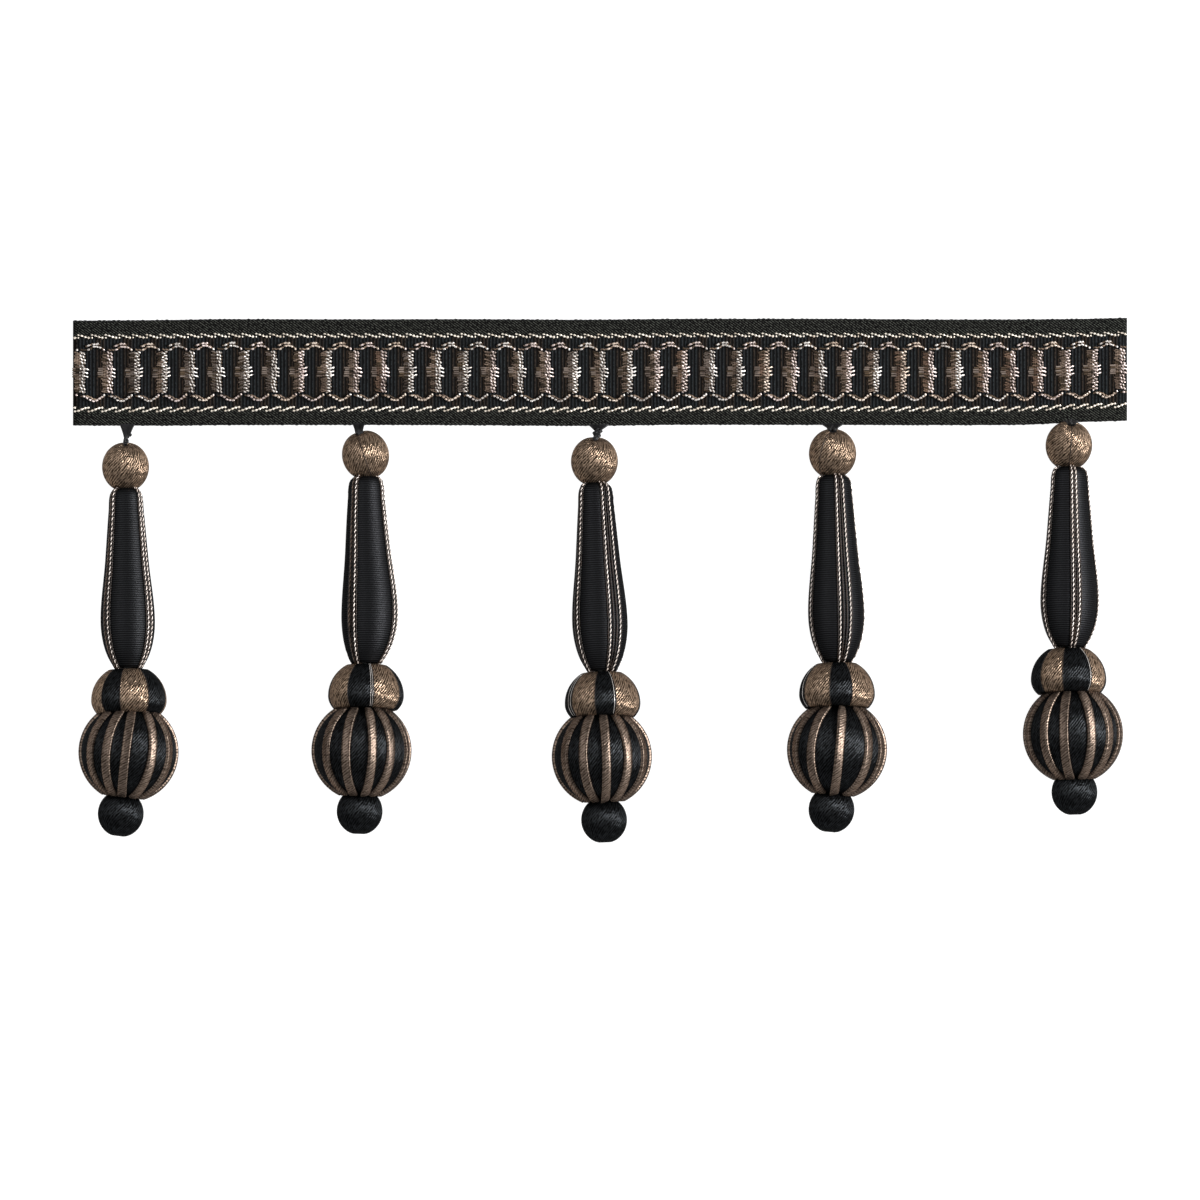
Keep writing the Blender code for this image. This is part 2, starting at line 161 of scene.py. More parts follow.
def feed(tree, node, inputs):
    """Sets each input to a value, or links it to a socket, or to the first live output of a node."""
    for socket, value in inputs.items():
        if isinstance(value, bpy.types.Node):
            value = next(output for output in value.outputs if output.enabled)
        if isinstance(value, bpy.types.NodeSocket):
            tree.links.new(value, node.inputs[socket])
        else:
            node.inputs[socket].default_value = value
    return node


def add_node(tree, kind, inputs, **settings):
    """A node with its settings and its inputs."""
    node = tree.nodes.new("ShaderNode" + kind)
    for setting, value in settings.items():
        setattr(node, setting, value)
    return feed(tree, node, inputs)


def new_finish(name, **constants):
    """A material, its node tree and its Principled shader, with plain numbers set on the shader's sockets."""
    material = bpy.data.materials.new(name)
    material.use_nodes = True
    tree = material.node_tree
    shader = tree.nodes["Principled BSDF"]
    for socket, value in constants.items():
        feed(tree, shader, {socket.replace("_", " "): linear(value) if isinstance(value, str) else value})
    print("finish:", name)
    return material, tree, shader


def wave(tree, along, pitch, peak=0.0):
    """A wave of this pitch along a coordinate, with a crest at the peak."""
    inputs = {0: along, 1: math.tau / pitch, 2: -math.tau * peak / pitch}
    turn = add_node(tree, "Math", inputs, operation="MULTIPLY_ADD")
    return add_node(tree, "Math", {0: turn}, operation="COSINE")


def between(tree, value, low, high, dark, light):
    """A colour that goes from a dark hex value to a light one as the value goes from low to high."""
    share = add_node(tree, "MapRange", {"Value": value, "From Min": low, "From Max": high})
    return add_node(tree, "Mix", {0: share, 6: linear(dark), 7: linear(light)}, data_type="RGBA")


def surface(tree, shader, colour, height, depth):
    """Gives the shader its colour, and a relief this many millimetres deep."""
    relief = add_node(tree, "Bump", {"Height": height, "Strength": 1.0, "Distance": depth * MM})
    feed(tree, shader, {"Base Color": colour, "Normal": relief})


floor_finish, _, _ = new_finish(
    "opal light table",
    Base_Color="#808080", Roughness=0.9, Specular_IOR_Level=0.1,
    Emission_Color="#ffffff", Emission_Strength=TABLE_GLOW,
)
floor_mesh.materials.append(floor_finish)

# %% [markdown]
# ## Wound satin thread
#
# The beads, buns and balls are covered with viscose floss, laid side by side over the mould from hole to
# hole. The filaments are smooth and all run one way, so a highlight spreads across them in a band and stays
# narrow along them. That is anisotropy: the tangent runs across the threads, and the UV map gives it, with U
# across and V along. Noise stretched along V is the threads themselves. Each thread is twisted too, which
# shows as slanting strokes: a wave at a slant, broken up by a second noise. As relief they break the band of
# light into flecks. As colour they paint shade between the threads and a highlight on them, darker in the
# hollows and lighter on the crests. Real floss lies about 0.15 mm apart, too fine for the render, so threads
# are drawn 0.3 mm apart and strokes 0.65 mm.

# %% Satin thread
# The width and the length of a streak in mm, its slant from the way the threads run, how much finer the noise
# is than the streaks, and the share of a regular wave, where 1 is the range of the noise.
Streaks = namedtuple("Streaks", "width length slant fineness wave")
THREADS = Streaks(0.3, 2.8, 0.0, 1.0, 0.0)
STROKES = Streaks(0.65, 1.6, math.radians(38.0), 1.1, 0.2)


def streaky(tree, uv, streaks):
    """Noise stretched into streaks, on a wave that is one streak wide."""
    scale = (streaks.width, streaks.length, 1.0)
    inputs = {"Vector": uv, "Rotation": (0.0, 0.0, streaks.slant), "Scale": scale}
    laid = add_node(tree, "Mapping", inputs, vector_type="TEXTURE")
    inputs = {"Vector": laid, "Scale": streaks.fineness, "Detail": 1.0, "Roughness": 0.6}
    noise = add_node(tree, "TexNoise", inputs, noise_dimensions="2D")
    across = add_node(tree, "SeparateXYZ", {"Vector": laid})
    inputs = {0: wave(tree, across, 1.0, 0.25), 1: streaks.wave, 2: noise}
    return add_node(tree, "Math", inputs, operation="MULTIPLY_ADD")


def satin(name, shade, light, depth, strokes, **constants):
    """Floss between two colours, a dark one painted as shade between the threads and a lighter one painted as
    highlight on them.
    """
    material, tree, shader = new_finish(name, **constants)
    uv = add_node(tree, "UVMap", {}, uv_map="UVMap")
    height = add_node(tree, "Mix", {0: strokes, 2: streaky(tree, uv, THREADS), 3: streaky(tree, uv, STROKES)})
    surface(tree, shader, between(tree, height, 0.3, 0.7, shade, light), height, depth)
    across = add_node(tree, "Tangent", {}, direction_type="UV_MAP", uv_map="UVMap")
    feed(tree, shader, {"Tangent": across})
    return material


TAUPE_SATIN = satin(
    "taupe viscose floss", "#33291f", "#9b8572", 0.3, 0.75,
    Metallic=0.8, Roughness=0.33, Anisotropic=0.92, Specular_IOR_Level=0.3, Specular_Tint="#5e4e40",
)
STRIP_SATIN = satin(
    "taupe viscose ribbon", "#392f28", "#7b6c61", 0.14, 0.6,
    Metallic=0.85, Roughness=0.36, Anisotropic=0.75, Specular_IOR_Level=0.2, Specular_Tint="#4a4038",
)
BLACK_SATIN = satin(
    "black viscose floss", "#0b0b0b", "#2b2d2f", 0.18, 0.75,
    Metallic=0.85, Roughness=0.42, Anisotropic=0.88, Specular_IOR_Level=0.1, Specular_Tint="#080808",
)
print("threads drawn", THREADS.width, "mm apart")

# %% [markdown]
# ## Turned moulds
#
# A mould is turned on a lathe, so its cover is a profile spun about the string. The spin starts on the side
# that lies on the floor, which hides the seam of the UV map. The way along the profile is kept on each
# vertex before the spin copies it round, and becomes V; the turn becomes U. Both are in millimetres. Every
# finished mesh then becomes a piece of the fringe in the same way.

# %% Turning
def shares(count):
    """The shares from 0 to 1 in this many even steps."""
    return [i / count for i in range(count + 1)]


def outwards(turn):
    """The direction away from the string at a turn in degrees."""
    return Vector((math.sin(math.radians(turn)), math.cos(math.radians(turn)), 0.0))


def turned(rows, steps, start=-180.0, end=180.0, bm=None):
    """A profile of (height, radius) rows, spun about local Z between two turns in degrees."""
    bm = bm or bmesh.new()
    along = bm.verts.layers.float.get("along") or bm.verts.layers.float.new("along")
    verts, way = [], 0.0
    for i, (height, radius) in enumerate(rows):
        way += math.dist(rows[i - 1], rows[i]) if i else 0.0
        verts.append(bm.verts.new(outwards(start) * radius + UP * height))
        verts[-1][along] = way / MM
    edges = [bm.edges.new(pair) for pair in zip(verts, verts[1:])]
    before = set(bm.faces)
    bmesh.ops.spin(
        bm, geom=verts + edges, axis=-UP, cent=(0.0, 0.0, 0.0), steps=steps,
        angle=math.radians(end - start), use_merge=end - start == 360.0,
    )
    return bm, [face for face in bm.faces if face not in before]


def map_round(bm, radius):
    """Lays the UV map: U round the string, as long as it is at this radius, and V along the profile."""
    along = bm.verts.layers.float["along"]
    uv = bm.loops.layers.uv.new("UVMap")
    for face in bm.faces:
        centre = face.calc_center_median()
        middle = math.atan2(centre.x, centre.y)
        for loop in face.loops:
            turn = math.atan2(loop.vert.co.x, loop.vert.co.y)
            turn += math.tau * round((middle - turn) / math.tau)
            loop[uv].uv = (turn * radius / MM, loop.vert[along])


def close_up(bm):
    """Merges doubles, closes open rims and points every face outwards."""
    bmesh.ops.remove_doubles(bm, verts=bm.verts, dist=0.001 * MM)
    rims = [edge for edge in bm.edges if edge.is_boundary]
    if rims:
        bmesh.ops.holes_fill(bm, edges=rims, sides=0)
    bmesh.ops.recalc_face_normals(bm, faces=bm.faces)
    if bm.calc_volume(signed=True) < 0:
        bmesh.ops.reverse_faces(bm, faces=bm.faces)


def standing(centre, direction):
    """The place of a turned piece: its Z along the string, its Y on the side that faces up."""
    along = direction.normalized()
    across = -along.cross(UP).normalized()
    return Matrix.Translation(centre) @ Matrix((across, along.cross(across), along)).transposed().to_4x4()

# %% Pieces of the fringe
def dress(name, mesh, finishes, nodes):
    """Makes a mesh a piece of the fringe, which stands for these solids."""
    for finish in finishes:
        mesh.materials.append(finish)
    mesh.shade_smooth()
    piece = bpy.data.objects.new(name, mesh)
    scene.collection.objects.link(piece)
    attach(piece, "root")
    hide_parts(*nodes)
    mesh.calc_loop_triangles()
    print(name, len(mesh.loop_triangles), "triangles")
    return piece


def place(name, bm, matrix, finishes, nodes):
    """Sets a bmesh down at its place. Where it meets the floor it is pressed flat."""
    bmesh.ops.transform(bm, matrix=matrix, verts=bm.verts)
    for vert in bm.verts:
        vert.co.z = max(vert.co.z, 0.0)
    mesh = bpy.data.meshes.new(name)
    bm.to_mesh(mesh)
    bm.free()
    return dress(name, mesh, finishes, nodes)


def add_winding(name, rows, steps, radius, stand, finish, nodes):
    """The wound cover of a bead or a ball."""
    bm, _ = turned(rows, steps)
    map_round(bm, radius)
    close_up(bm)
    place(name, bm, stand, [finish], nodes)

# %% [markdown]
# ## Where the drops lie
#
# Each drop was laid by hand, so no two hang quite alike. The centres of its moulds are given in millimetres
# from the middle of the braid. The turns, in degrees, say where cords, bands and strips come round to the
# front. Bead and ball touch the floor; the bun between them is carried clear of it.

# %% Drops
Drop = namedtuple("Drop", "bead bun ball tip cords bands strips girth")
MEASURED = (
    Drop((-128.1, 25.5), (-127.2, 88.0), (-127.3, 102.5), (-129.4, 119.1),
         (-54.0, 50.0), (-97.0, -47.0, -14.0, 32.6), (-53.0, -27.5, -3.3, 29.7, 58.0), 0.98),
    Drop((-63.3, 22.3), (-63.2, 86.7), (-64.4, 102.1), (-64.9, 118.5),
         (-39.0, 70.0), (-80.0, -29.8, 12.7, 64.3), (-47.6, -19.0, 13.3, 37.6, 71.0), 1.00),
    Drop((-1.5, 24.0), (0.7, 88.8), (0.5, 103.7), (1.1, 120.8),
         (-65.0, 34.5), (-56.0, -12.0, 21.5, 80.0), (-50.6, -22.7, 5.5, 32.9, 61.6), 1.00),
    Drop((62.8, 21.9), (64.0, 86.3), (64.0, 101.8), (62.5, 118.0),
         (-77.0, 19.6), (-61.8, -11.3, 24.5, 81.0), (-60.4, -32.5, 3.3, 40.8, 66.5), 1.00),
    Drop((126.6, 19.7), (126.5, 82.4), (127.7, 97.6), (128.1, 113.3),
         (-80.0, 13.0, 95.0), (-48.7, -9.0, 38.7, 79.5), (-69.0, -36.9, -10.8, 22.7, 49.5, 73.7), 1.03),
)
BEAD_RADIUS = 6.15 * MM
BALL_RADIUS = 13.55 * MM  # over its strips
BEAD_HEIGHT = BEAD_RADIUS - 0.15 * MM  # of its centre above the floor: the bead lies on a small flat spot
BALL_HEIGHT = BALL_RADIUS - 0.25 * MM


def laid(drop):
    """The same drop, with the centres of its moulds where they lie over the floor."""
    bead, bun, ball, tip = [Vector((x * MM, BRAID_MIDDLE - y * MM, 0.0)) for x, y in drop[:4]]
    bead.z, ball.z, tip.z = BEAD_HEIGHT, BALL_HEIGHT, BALL_HEIGHT
    bun.z = bead.z + (ball.z - bead.z) * (bead.y - bun.y) / (bead.y - ball.y)
    return Drop(bead, bun, ball, tip, *drop[4:])


def all_round(turns, count):
    """The turns that show, then the hidden ones spaced evenly over the rest of the circle."""
    step = (360.0 + turns[0] - turns[-1]) / (count - len(turns) + 1)
    return list(turns) + [turns[-1] + step * (i + 1) for i in range(count - len(turns))]


DROPS = [laid(drop) for drop in MEASURED]
print(len(DROPS), "drops")

# %% [markdown]
# ## Beads
#
# A bead is a wooden ball with a hole through it, wound with floss from hole to hole. The windings heap up
# towards the mouth of the hole and dip into it, so the profile is full near both poles and turns in there.
# The mouth of a top bead is lifted towards the eye, and leans to where its thread comes from.

# %% Beads
TOP_COVERS = (6.35 * MM, 6.35 * MM, 6.35 * MM, 6.4 * MM, 6.3 * MM)  # radius over the windings
TIP_COVER = 6.2 * MM
TOP_HEAP, TOP_DIP = 0.07, 0.12  # of the radius, at the poles
TIP_HEAP, TIP_DIP = 0.03, 0.04
BEAD_ROWS, BEAD_STEPS = 28, 56
HOLE_RADIUS, HOLE_DEPTH = 0.9 * MM, 0.9 * MM
BEAD_LEANS = (0.0, -16.0, 2.0, 0.0, 7.0)  # degrees to the right, of each top bead's mouth
BEAD_LIFTS = (18.0, 12.0, 13.0, 18.0, 24.0)


def bead_rows(cover, heap, dip):
    """A ball's profile that turns down into the hole at both poles."""
    mouth = math.asin((HOLE_RADIUS + 0.5 * MM) / cover)
    rows = []
    for share in shares(BEAD_ROWS):
        angle = mouth + (math.pi - 2 * mouth) * share
        radius = cover * (1 + heap * math.cos(angle) ** 2 - dip * math.cos(angle) ** 30)
        rows.append((-radius * math.cos(angle), radius * math.sin(angle)))
    height = rows[-1][0]
    lip = [(height - 0.02 * MM, HOLE_RADIUS), (height - HOLE_DEPTH, HOLE_RADIUS * 0.7)]
    return [(-h, r) for h, r in reversed(lip)] + rows + lip


def bead_axis(number):
    """The way down through a top bead's hole."""
    lean, lift = math.radians(BEAD_LEANS[number - 1]), math.radians(BEAD_LIFTS[number - 1])
    return -Vector((math.sin(lean) * math.cos(lift), math.cos(lean) * math.cos(lift), math.sin(lift)))


for number, (drop, cover) in enumerate(zip(DROPS, TOP_COVERS), start=1):
    rows, stand = bead_rows(cover, TOP_HEAP, TOP_DIP), standing(drop.bead, bead_axis(number))
    add_winding(
        f"bead_cover_{number}", rows, BEAD_STEPS, BEAD_RADIUS, stand,
        TAUPE_SATIN, [f"top_bead_{number}"],
    )
    rows, stand = bead_rows(TIP_COVER, TIP_HEAP, TIP_DIP), standing(drop.tip, drop.tip - drop.ball)
    add_winding(
        f"tip_cover_{number}", rows, BEAD_STEPS, BEAD_RADIUS, stand,
        BLACK_SATIN, [f"end_bead_{number}"],
    )

# %% [markdown]
# ## Buns
#
# The flattened mould under the baluster is wound in eight bands, taupe and black by turns. A band is its own
# spin with its own material, and it swells a little between the lines where two bands meet.

# %% Buns
BUN_RADIUS = 10.25 * MM
BUN_WIDEST = 0.6 * MM  # of the widest row below the centre
BUN_TOP, BUN_BASE = 9.8 * MM, 6.8 * MM  # half heights of the full oval above and below its widest row
BUN_TOP_SEAT, BUN_BASE_SEAT = 8.25 * MM, 3.75 * MM
BUN_TOP_HOLE, BUN_BASE_HOLE = 1.5 * MM, 3.0 * MM
BUN_ROWS = 12
BAND_COUNT, BAND_STEPS = 8, 9
BAND_SWELL = 0.28 * MM


def bun_rows():
    """Two half ovals, cut off where the baluster and the ball sit."""
    rows = []
    for i in range(-BUN_ROWS, BUN_ROWS + 1):
        half, seat = (BUN_TOP, BUN_TOP_SEAT) if i < 0 else (BUN_BASE, BUN_BASE_SEAT)
        angle = math.asin(seat / half) * i / BUN_ROWS
        rows.append((BUN_WIDEST + half * math.sin(angle), BUN_RADIUS * math.cos(angle)))
    return [(rows[0][0], BUN_TOP_HOLE)] + rows + [(rows[-1][0], BUN_BASE_HOLE)]


def swell(bm, edges, amount):
    """Lets the cover swell between the given turns, and dip where two of them meet."""
    starts = sorted(edge % 360 for edge in edges)
    starts = [starts[-1] - 360, *starts, starts[0] + 360]
    for vert in bm.verts:
        x, y, _ = vert.co
        turn = math.degrees(math.atan2(x, y)) % 360
        low = max(start for start in starts if start <= turn + 1e-4)
        high = min(start for start in starts if start > turn + 1e-4)
        dip = (2 * (turn - low) / (high - low) - 1) ** 4
        vert.co.xy *= 1 - amount * dip / max(math.hypot(x, y), BUN_RADIUS)


for number, drop in enumerate(DROPS, start=1):
    edges = all_round(drop.bands, BAND_COUNT)
    bm = bmesh.new()
    for i, (start, end) in enumerate(zip(edges, edges[1:] + [edges[0] + 360.0])):
        _, faces = turned(bun_rows(), BAND_STEPS, start, end, bm)
        for face in faces:
            face.material_index = i % 2
    swell(bm, edges, BAND_SWELL)
    map_round(bm, BUN_RADIUS)
    close_up(bm)
    stand = standing(drop.bun, drop.ball - drop.bead)
    place(f"bun_cover_{number}", bm, stand, [TAUPE_SATIN, BLACK_SATIN], [f"bun_{number}"])

# %% [markdown]
# ## Balls
#
# The big mould is wound in black, hole to hole, like a bead. Over it lie twelve raised strips of narrow
# taupe ribbon, which run from pole to pole and taper where they crowd together under the bun. A flat grid is
# bent over the ball for each, rounded at its sides. Three of them don't lie level, and the side that faces
# the lamp shines. The ribbon's weft runs across it and makes its light spread along the strip, so here U is
# the way along.

# %% Balls and their strips
BALL_CORE = 12.8 * MM
BALL_ROWS, BALL_STEPS = 28, 72
BALL_HOLE = 0.06  # of the way from pole to pole, left open at each
BALL_START, BALL_END = -12.0 * MM, 12.3 * MM  # of the strips, along the string from the centre
STRIP_COUNT = 12
STRIP_WIDTH, STRIP_SINK = 2.65 * MM, 0.15 * MM  # sunk into the winding
TOP_MOST_TURN, END_MOST_TURN = 8.5, 12.5  # degrees to each side of its middle, at its two ends
SHOWN_TURN = 97.0  # degrees: the hidden strips begin beyond it on both sides
STRIP_ACROSS, STRIP_ALONG = 8, 30
STRIP_FLATNESS = 14  # the higher, the later its sides turn down
# By drop and turn, how far a strip leans over to the right at its top and its end, in degrees.
STRIP_LEANS = {(2, 13.3): (11.0, 14.0), (3, 5.5): (0.0, 22.0), (4, 3.3): (20.0, 20.0)}
FIRST_POLAR, LAST_POLAR = math.acos(-BALL_START / BALL_RADIUS), math.acos(-BALL_END / BALL_RADIUS)


def on_ball(turn, way, side, radius):
    """A point beside the meridian at this turn: way goes from 0 to 1 down it, side from -1 to 1 across."""
    polar = FIRST_POLAR + (LAST_POLAR - FIRST_POLAR) * way
    reach = min(
        math.degrees(math.asin(min(1.0, STRIP_WIDTH / 2 / (BALL_RADIUS * math.sin(polar))))),
        TOP_MOST_TURN + (END_MOST_TURN - TOP_MOST_TURN) * way,
    )
    return outwards(turn + reach * side) * radius * math.sin(polar) - UP * radius * math.cos(polar)


def strip_turns(drop):
    """The turns of the strips that show, and of the rest, spaced evenly where the ball hides them."""
    hidden = STRIP_COUNT - len(drop.strips)
    step = (360.0 - 2 * SHOWN_TURN) / (hidden - 1)
    return list(drop.strips) + [SHOWN_TURN + step * i for i in range(hidden)]


def add_strip(bm, turn, leans, uv):
    """A strip down the ball at this turn, flat but for its sides, leaning over as given at its ends."""
    verts = bmesh.ops.create_grid(bm, x_segments=STRIP_ALONG, y_segments=STRIP_ACROSS, size=1.0)["verts"]
    length = (LAST_POLAR - FIRST_POLAR) * BALL_RADIUS
    places = {}
    for vert in verts:
        way, side = (vert.co.x + 1) / 2, math.sin(vert.co.y * math.pi / 2)
        crown = math.sqrt(max(0.0, 1 - abs(side) ** STRIP_FLATNESS))
        lean = math.radians(leans[0] + (leans[1] - leans[0]) * way)
        thickness = BALL_RADIUS - BALL_CORE + STRIP_SINK - math.tan(lean) * side * STRIP_WIDTH / 2
        places[vert] = (way * length / MM, side * STRIP_WIDTH / 2 / MM)
        vert.co = on_ball(turn, way, side, BALL_CORE - STRIP_SINK + thickness * crown)
    for face in {face for vert in verts for face in vert.link_faces}:
        for loop in face.loops:
            loop[uv].uv = places[loop.vert]


core_rows = []
for share in shares(BALL_ROWS):
    polar = math.pi * (BALL_HOLE + (1 - 2 * BALL_HOLE) * share)
    core_rows.append((-BALL_CORE * math.cos(polar), BALL_CORE * math.sin(polar)))
for number, drop in enumerate(DROPS, start=1):
    stand = standing(drop.ball, drop.tip - drop.ball)
    add_winding(
        f"ball_cover_{number}", core_rows, BALL_STEPS, BALL_CORE, stand,
        BLACK_SATIN, [f"ball_{number}"],
    )
    bm = bmesh.new()
    uv = bm.loops.layers.uv.new("UVMap")
    for turn in strip_turns(drop):
        add_strip(bm, turn, STRIP_LEANS.get((number, turn), (0.0, 0.0)), uv)
    bmesh.ops.recalc_face_normals(bm, faces=bm.faces)
    place(f"strips_{number}", bm, stand, [STRIP_SATIN], [f"ball_strips_{number}"])

# %% [markdown]
# ## Twisted yarn
#
# A cord is plies wound round each other, and a ply may be a cord in turn. So one function is enough: it takes
# a route, a list of points each with the direction that counts as outwards there, and gives the route of one
# ply that winds round it. Winding a ply round a ply gives the small beads of light that a real cord has. A
# curve with a round bevel then gives each route its thickness, and is made a mesh before it is kept.

# %% Yarn
def twist(route, offset, lay, start=0.0):
    """The route of a ply that winds round another, once in each lay. A negative lay winds the other way."""
    ply, way = [], 0.0
    for i, (point, out) in enumerate(route):
        ahead, behind = route[min(i + 1, len(route) - 1)][0], route[max(i - 1, 0)][0]
        along = (ahead - behind).normalized()
        side = along.cross(out).normalized()
        if i:
            way += (point - route[i - 1][0]).length
        angle = math.tau * way / lay + math.radians(start)
        direction = side.cross(along) * math.cos(angle) + side * math.sin(angle)
        ply.append((point + direction * offset, direction))
    return ply


def add_yarn(name, plies, finishes, nodes, matrix=Matrix.Identity(4)):
    """Tubes along routes: each ply is (route, radius) or (route, radius, number of its finish)."""
    curve = bpy.data.curves.new(name, "CURVE")
    curve.dimensions = "3D"
    curve.bevel_depth = 1.0
    curve.bevel_resolution = 1
    curve.use_fill_caps = True
    for finish in finishes:
        curve.materials.append(finish)
    for route, radius, *finish in plies:
        spline = curve.splines.new("POLY")
        spline.points.add(len(route) - 1)
        spline.material_index = finish[0] if finish else 0
        sizes = radius if isinstance(radius, list) else [radius] * len(route)
        for point, (place_on_route, _), size in zip(spline.points, route, sizes):
            point.co = (*place_on_route, 1.0)
            point.radius = size
    holder = bpy.data.objects.new(name, curve)
    mesh = bpy.data.meshes.new_from_object(holder)
    bpy.data.objects.remove(holder)
    mesh.transform(matrix)
    mesh.name = name
    return dress(name, mesh, [], nodes)

# %% [markdown]
# ## Plain yarn finishes
#
# Where the threads are modelled, the material has less to do: a fibre colour that wanders a little from
# place to place, as dye takes unevenly, and a fine grain that keeps a highlight from looking like plastic.

# %% Yarn finishes
DYE_SPOTS = 3.0  # mm between a paler place and a darker one
FIBRE_GRAIN, GRAIN_DEPTH = 0.25, 0.04  # mm


def yarn(name, shade, light, metallic=0.3, roughness=0.4, specular=0.5):
    """A plain fibre between two colours."""
    material, tree, shader = new_finish(
        name, Metallic=metallic, Roughness=roughness, Specular_IOR_Level=specular
    )
    on_piece = add_node(tree, "TexCoord", {}).outputs["Object"]
    dye = add_node(tree, "TexNoise", {"Vector": on_piece, "Scale": 1 / (DYE_SPOTS * MM), "Detail": 4.0})
    grain = add_node(tree, "TexNoise", {"Vector": on_piece, "Scale": 1 / (FIBRE_GRAIN * MM), "Detail": 1.0})
    surface(tree, shader, between(tree, dye, 0.3, 0.7, shade, light), grain, GRAIN_DEPTH)
    return material


BROWN_GIMP = yarn("brown viscose gimp", "#2e241d", "#65533f", roughness=0.42)
TAN_GIMP = yarn("tan viscose gimp", "#5e4d41", "#ae9785")
GREY_GIMP = yarn("grey taupe viscose gimp", "#53473f", "#9a8b80")
RUST_GIMP = yarn("rust taupe viscose gimp", "#553f32", "#a88a74")
# Painted lit: near-white copies of the taupe gimp, a painted highlight for the loops that face the lamp.
PAINTED_LIT_GOLD_GIMP = yarn("gold taupe viscose gimp painted lit", "#a48e7c", "#fdeee0", 0.4, 0.3)
PAINTED_LIT_ROSE_GIMP = yarn("rose taupe viscose gimp painted lit", "#a18f89", "#fbebe6", 0.4, 0.3)
PAINTED_LIT_SILVER_GIMP = yarn("silver taupe viscose gimp painted lit", "#a39a94", "#fbf6f1", 0.4, 0.3)
CREAM_YARN = yarn("cream viscose cord", "#bcae9e", "#fff7ea", roughness=0.3)
BLUSH_YARN = yarn("blush viscose cord", "#e0cec1", "#fff6ef", roughness=0.35)
# A copy of the blush cord painted in shade, for the cords on the left of a drop that face away from the lamp.
SHADED_BLUSH_YARN = yarn("blush viscose cord painted in shade", "#3c2d24", "#86705f")
DARK_YARN = yarn("brown-black cord", "#0a0706", "#32251d", 0.0, 0.45, 0.3)
BLACK_YARN = yarn("black polyester thread", "#0b0b0c", "#242426", 0.0, 0.5, 0.3)

# %% [markdown]
# ## Balusters
#
# A baluster is a long mould with a swelling towards its foot. Four strips of black grosgrain ribbon cover it,
# and each swells slightly between the cords that hide its edges. Grosgrain has fine ribs across the ribbon,
# so here they run round the mould: their bump draws the lamp's reflection out into a long upright streak.
# Their colour is painted as well: darker in the hollows between the ribs, as painted shade, and lighter on
# their crests, as a painted highlight.

# %% Grosgrain
RIB_PITCH, RIB_DEPTH = 0.6, 0.05  # mm: real ribs are nearer 0.5 mm, drawn a little coarser so that they show

GROSGRAIN, tree, shader = new_finish(
    "black grosgrain ribbon",
    Metallic=0.85, Roughness=0.5, Specular_IOR_Level=0.1, Specular_Tint="#000000",
)
uv = add_node(tree, "UVMap", {}, uv_map="UVMap")
way = add_node(tree, "SeparateXYZ", {"Vector": uv})
rib = wave(tree, way.outputs["Y"], RIB_PITCH, RIB_PITCH / 4)
fleck = add_node(tree, "TexNoise", {"Vector": uv, "Scale": 1.6, "Detail": 3.0}, noise_dimensions="2D")
height = add_node(tree, "Math", {0: rib, 1: fleck}, operation="MULTIPLY")
# Painted shade in the hollows between the ribs, and a painted highlight on their crests.
surface(tree, shader, between(tree, rib, 0.0, 1.0, "#19191a", "#2c2d2f"), height, RIB_DEPTH)

# %% Balusters
# Share of the baluster's length from its top, and its radius in mm over the ribbon.
BALUSTER_ROWS = (
    (0.00, 3.6), (0.03, 4.4), (0.12, 4.85), (0.40, 6.0),
    (0.74, 7.5), (0.85, 6.95), (0.93, 5.75), (1.00, 3.9),
)
BEAD_SEAT = 5.95 * MM  # from a top bead's centre to the baluster under it
BUN_SEAT = 8.15 * MM
PROFILE_STEPS, BALUSTER_STEPS = 64, 64
PANEL_COUNT = 4
PANEL_SWELL = 0.4 * MM
PANEL_RADIUS = 6.0 * MM  # where the ribbon's map is true to size
BELLY_ASIDE = (0.0, 0.9, 0.0, 0.0, 0.0)  # mm to the right: the second mould was turned off its centre


def smooth(rows, at):
    """Reads (position, value) rows along a curve that passes through them without overshooting."""
    slopes = [(b[1] - a[1]) / (b[0] - a[0]) for a, b in zip(rows, rows[1:])]
    for i, ((low, first), (high, last)) in enumerate(zip(rows, rows[1:])):
        if at <= high or i == len(slopes) - 1:
            break
    before, after = slopes[max(i - 1, 0)], slopes[min(i + 1, len(slopes) - 1)]
    leaving = (before + slopes[i]) / 2 if before * slopes[i] > 0 else 0.0
    arriving = (after + slopes[i]) / 2 if after * slopes[i] > 0 else 0.0
    span, t = high - low, (at - low) / (high - low)
    return (
        first * (1 + 2 * t) * (1 - t) ** 2
        + leaving * span * t * (1 - t) ** 2
        + last * t * t * (3 - 2 * t)
        - arriving * span * t * t * (1 - t)
    )


Baluster = namedtuple("Baluster", "stand rows length aside")


def baluster_of(number):
    """A baluster's place, and its profile with its shoulder and foot drawn in to the string."""
    drop = DROPS[number - 1]
    down = (drop.bun - drop.bead).normalized()
    top, base = drop.bead + down * BEAD_SEAT, drop.bun - down * BUN_SEAT
    length = (base - top).length
    girth = drop.girth * MM
    rows = [(share * length, smooth(BALUSTER_ROWS, share) * girth) for share in shares(PROFILE_STEPS)]
    rows = [(0.15 * MM, 1.8 * MM), (0.0, 2.9 * MM)] + rows[1:] + [(length, rows[-1][1] * 0.6)]
    return Baluster(standing(top, base - top), rows, length, BELLY_ASIDE[number - 1] * MM)


def push_aside(baluster, point):
    """Moves a point of a baluster to the right, most at its belly."""
    share = max(0.0, min(1.0, point.z / baluster.length))
    point.x += baluster.aside * math.sin(math.pi * share**2)


